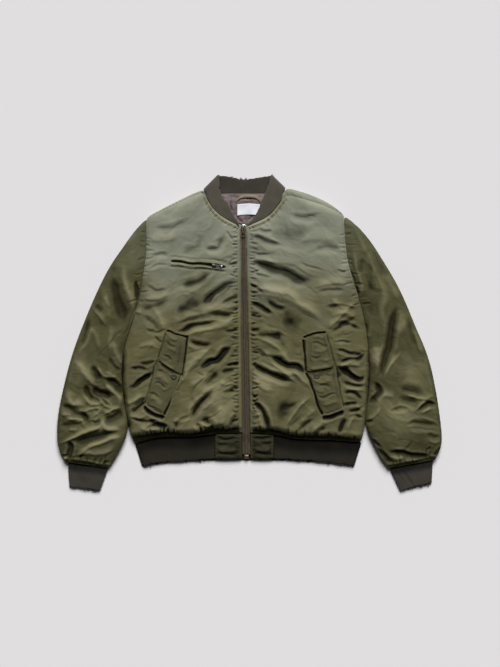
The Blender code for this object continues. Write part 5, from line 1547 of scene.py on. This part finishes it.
def stitch_row(line, height, sink=0.05, long=1.45, wide=0.42, seed=0):
    """Places for stitches along a line, lying on the cloth."""
    path = smooth_line(line, 12)
    walked = np.concatenate([[0], np.cumsum(np.hypot(*np.diff(path, axis=0).T))])
    draw = np.random.default_rng(151 + seed)
    found = []
    for s in np.arange(STITCH_GAP / 2, walked[-1], STITCH_GAP):
        ends = []
        for at in (s - 1.3, s + 1.3):
            x, y = (float(np.interp(at, walked, path[:, k])) for k in (0, 1))
            z = height(x, y)
            if z is not None:
                ends.append(Vector((x, y, z)))
        if len(ends) < 2 or (ends[1] - ends[0]).length > 7:
            continue
        middle = (ends[0] + ends[1]) / 2
        along = (ends[1] - ends[0]).to_track_quat("X", "Z").to_matrix().to_4x4()
        size = Matrix.Diagonal((long * draw.uniform(0.92, 1.05), wide, 0.36, 1))
        found.append(Matrix.Translation(middle + Vector((0, 0, 0.22 - sink))) @ along @ size)
    return found


# %% Rows of stitches
def beside_zip(facing, gap):
    return [(zip_x(y) + facing * (zip_half(y) + gap), y) for y in (257, 190, 120, 50, -20, -90, -160, -247)]


def inset_line(line, gap):
    """The line moved sideways by this much, to the left of its direction."""
    path = np.array(line, float)
    ahead = np.gradient(path, axis=0)
    ahead /= np.hypot(*ahead.T)[:, None]
    return [tuple(p) for p in path + np.stack([-ahead[:, 1], ahead[:, 0]], 1) * gap]


NECK_RIGHT = [(-113, 343), (-95, 310), (-68, 284), (-27, 263)]
NECK_LEFT = [(89, 337), (60, 299), (38, 280), (-4, 263)]
ARM_RIGHT = [(-252, 280), (-254, 225), (-256, 186), (-263, 140), (-275, 68), (-292, 20)]
ARM_LEFT = [(231, 286), (232, 262), (234, 225), (240, 182), (253, 130), (274, 70), (286, 22)]
ROWS_RIGHT = [
    beside_zip(-1, 7.5), beside_zip(-1, 2.2), inset_line(NECK_RIGHT, -5.5), ARM_RIGHT,
    [(-27, -250), (-28, -280), (-27, -314)], [(-84, -255), (-84, -314)], [(-81, -255), (-81, -314)],
    [(-84, -256), (-56, -257), (-26, -256)],
    [(-162, -10), (-170, -58), (-173, -106)], [(-170.5, -8), (-179, -58), (-182, -101)],
    [(-204, -2), (-184, -8), (-163, -13)], [(-203, -6), (-216, -44), (-226, -68)],
    [(-227, -69), (-202, -89), (-176, -103)],
    [(-235, -80), (-248, -130), (-256, -178)], [(-255, -181), (-236, -194), (-217, -205)],
    [(-251, -176), (-234, -187), (-215, -199)], [(-214, -204), (-193, -158), (-172, -110)],
    [(-200, 186), (-130, 181), (-58, 173)], [(-200, 169), (-130, 164), (-58, 157)],
]
ROWS_LEFT = [
    beside_zip(1, 7.5), beside_zip(1, 2.2), inset_line(NECK_LEFT, 5.5), ARM_LEFT,
    [(5, -250), (4, -280), (4, -314)], [(57, -256), (57, -314)], [(54, -256), (54, -314)],
    [(5, -256), (30, -257), (57, -257)],
    [(141, -14), (143, -58), (146, -93)], [(149.5, -10), (152, -56), (154, -91)],
    [(140, -13), (160, -5), (184, -2)], [(184, -3), (200, -46), (208, -84)],
    [(147, -95), (178, -96), (209, -86)],
    [(212, -90), (222, -140), (229, -188)], [(185, -206), (206, -199), (229, -190)],
    [(184, -200), (206, -193), (226, -184)], [(146, -104), (164, -156), (184, -204)],
]
right_stitches = [m for k, row in enumerate(ROWS_RIGHT) for m in stitch_row(row, on_right, seed=k)]
left_stitches = [m for k, row in enumerate(ROWS_LEFT) for m in stitch_row(row, on_left, seed=40 + k)]
thread_right = set_out("stitches_right", stitch_shape, right_stitches, thread)
thread_left = set_out("stitches_left", stitch_shape, left_stitches, thread)
for made in (thread_right, thread_left):
    write_mask(made.data, "fold", np.zeros(len(made.data.vertices)))
    settle(made, "jacket", "nylon")
print(len(right_stitches), "and", len(left_stitches), "stitches")

chest_teeth_at = []
for place in chest_places:
    x, y, _ = place.translation
    chest_teeth_at.append(Matrix.Translation((0, 0, (on_right(x, y) or 26.0) + 0.7)) @ place)
chest_teeth = set_out("chest_zip_teeth", small_tooth, chest_teeth_at, dark_metal, smooth=False)
settle(chest_teeth, "jacket", "brass", "chest_zip_chain")

# %% [markdown]
# Two narrow rolls of piping follow the neckline, with a dark line between them. Where the knit
# has frayed, single yarns stand out of its edge. Both are thin tubes along a list of points.


# %% Thin tubes
def tubes(name, lines, radius, finish, sides=6):
    """One mesh of closed tubes, one along each line of points, thinner towards its ends."""
    verts, faces = [], []
    ring = [2 * math.pi * k / sides for k in range(sides)]
    for line in lines:
        path = np.array(line, float)
        ahead = np.gradient(path, axis=0)
        ahead /= np.linalg.norm(ahead, axis=1)[:, None]
        side = np.cross(ahead, (0.13, 0.21, 1.0))
        side /= np.linalg.norm(side, axis=1)[:, None]
        up = np.cross(side, ahead)
        start, count = len(verts), len(path)
        for k, point in enumerate(path):
            thick = radius * min(1.0, 0.35 + 0.5 * min(k, count - 1 - k))
            verts += [point + thick * (math.cos(a) * side[k] + math.sin(a) * up[k]) for a in ring]
        for k in range(count - 1):
            for j in range(sides):
                a, b = start + k * sides + j, start + k * sides + (j + 1) % sides
                faces.append((a, b, b + sides, a + sides))
        faces.append(tuple(start + j for j in range(sides))[::-1])
        faces.append(tuple(start + (count - 1) * sides + j for j in range(sides)))
    made = piece(name, verts, faces, finish)
    shape = bmesh.new()
    shape.from_mesh(made.data)
    bmesh.ops.recalc_face_normals(shape, faces=shape.faces)
    shape.to_mesh(made.data)
    shape.free()
    return made


# %% Piping round the neck
def lay_line(line, height, lift):
    path = smooth_line(line, 16)
    found = []
    for x, y in path:
        z = height(float(x), float(y))
        if z is not None:
            found.append((x, y, z + lift))
    return found


rolls = [lay_line(inset_line(NECK_RIGHT, gap), on_right, 0.35) for gap in (-1.2, -4.2)]
piping_right = tubes("neck_piping_right", rolls, 1.25, loop_nylon, sides=10)
rolls = [lay_line(inset_line(NECK_LEFT, gap), on_left, 0.35) for gap in (1.2, 4.2)]
piping_left = tubes("neck_piping_left", rolls, 1.25, loop_nylon, sides=10)
for made in (piping_right, piping_left):
    write_mask(made.data, "fold", np.zeros(len(made.data.vertices)))
    settle(made, "jacket", "nylon")


# %% Frayed yarns
def frays(name, nicks, heading, band, finish, each, seed):
    """Loose yarns out of each nick in the band's edge, in this heading, give or take."""
    draw = np.random.default_rng(seed)
    edge = read_points(band.data)
    lines = []
    for x, y, radius, depth in nicks:
        apart = np.hypot(edge[:, 0] - x, edge[:, 1] - y)
        level = edge[np.argsort(apart)[:60], 2].mean()
        for _ in range(each):
            angle = math.radians(heading) + draw.normal(0, 0.75)
            bend, reach = draw.normal(0, 0.35), draw.uniform(2.0, 4.5 + depth)
            at = np.array([x + draw.uniform(-radius, radius) * abs(math.sin(math.radians(heading))),
                           y + draw.uniform(-radius, radius) * abs(math.cos(math.radians(heading))),
                           level + draw.uniform(-1.2, 1.0)])
            at[:2] -= 2.0 * np.array([math.cos(angle), math.sin(angle)])
            line = [at]
            for _ in range(5):
                angle += bend
                step = (reach + 2.0) / 5
                at = at + step * np.array([math.cos(angle), math.sin(angle), draw.normal(0, 0.15)])
                line.append(at)
            lines.append(line)
    made = tubes(name, lines, 0.42, finish, sides=5)
    write_mask(made.data, "rib", np.full(len(made.data.vertices), 0.7))
    write_mask(made.data, "across", np.full(len(made.data.vertices), 60.0))
    settle(made, "jacket", "rib_knit")
    return made


HEM_WORN = [(x, y - 1, r, d) for x, y, r, d in HEM_NICKS]
HEM_WORN += [(-232, -328, 2, 4), (-124, -320, 2, 3.5), (123, -319, 2, 3.5), (152, -321, 2, 3.5),
             (248, -330, 3, 4)]
fray_hem = frays("hem_frays", HEM_WORN, -90, hem, shaded_hem_knit, 9, 161)
fray_collar = frays("collar_frays", COLLAR_NICKS, 90, collar, collar_knit, 10, 163)
fray_right = frays("cuff_right_frays", [(-408, -392, 5, 3.0), (-392, -395, 4, 2.4)], -90, cuff_right,
                   cuff_knit, 7, 165)
fray_left = frays("cuff_left_frays", [(412, -388, 5, 4.0), (428, -385, 5, 3.4), (444, -382, 4, 3.4)],
                  -80, cuff_left, cuff_knit, 9, 167)

# %% [markdown]

# %% [markdown]
# A pale floor under soft studio light. The key comes from beyond the collar, low and broad, so
# that it slides over the folds, and the sky is darkest overhead: satin that lies level then
# keeps its own deep colour, and only the flanks that lean away from the hem catch the light.

# %% The floor
bpy.ops.object.select_all(action="DESELECT")
bpy.ops.mesh.primitive_plane_add(size=80)
floor = bpy.context.object
floor.name = "floor"
paint = bpy.data.materials.new("pale_floor")
paint.use_nodes = True
paint.node_tree.nodes["Principled BSDF"].inputs["Base Color"].default_value = (0.80, 0.785, 0.79, 1)
paint.node_tree.nodes["Principled BSDF"].inputs["Roughness"].default_value = 0.95
paint.node_tree.nodes["Principled BSDF"].inputs["Specular IOR Level"].default_value = 0.1
floor.data.materials.append(paint)

# %% The key light and the sky
sun = bpy.data.lights.new("key", "SUN")
sun.energy = 4.0
sun.angle = math.radians(34)
key = bpy.data.objects.new("key", sun)
bpy.context.scene.collection.objects.link(key)
key.rotation_euler = Vector((-0.12, -1.0, -0.95)).to_track_quat("-Z", "Y").to_euler()

world = bpy.data.worlds.new("studio")
world.use_nodes = True
sky = world.node_tree
way = add(sky, "ShaderNodeSeparateXYZ", {0: add(sky, "ShaderNodeTexCoord").outputs["Generated"]})
low_down = maths(sky, "MULTIPLY", spread(sky, way.outputs["Z"], 0.15, 0.95, 1.0, 0.0),
                 spread(sky, way.outputs["Z"], 0.02, 0.26, 0.25, 1.0))
to_collar = spread(sky, way.outputs["Y"], -0.7, 0.8, 0.45, 1.5)
light = maths(sky, "MULTIPLY", maths(sky, "MULTIPLY", low_down, to_collar), 2.05)
sky.links.new(maths(sky, "ADD", light, 0.50), sky.nodes["Background"].inputs["Strength"])
bpy.context.scene.world = world
bpy.context.scene.view_settings.view_transform = "Standard"

# %% The camera
lens = bpy.data.cameras.new("camera")
lens.lens = 120
lens.sensor_width = 36
lens.clip_end = 120
camera = bpy.data.objects.new("camera", lens)
bpy.context.scene.collection.objects.link(camera)
camera.location = (0.00075, -0.0025, 5.575)
bpy.context.scene.camera = camera
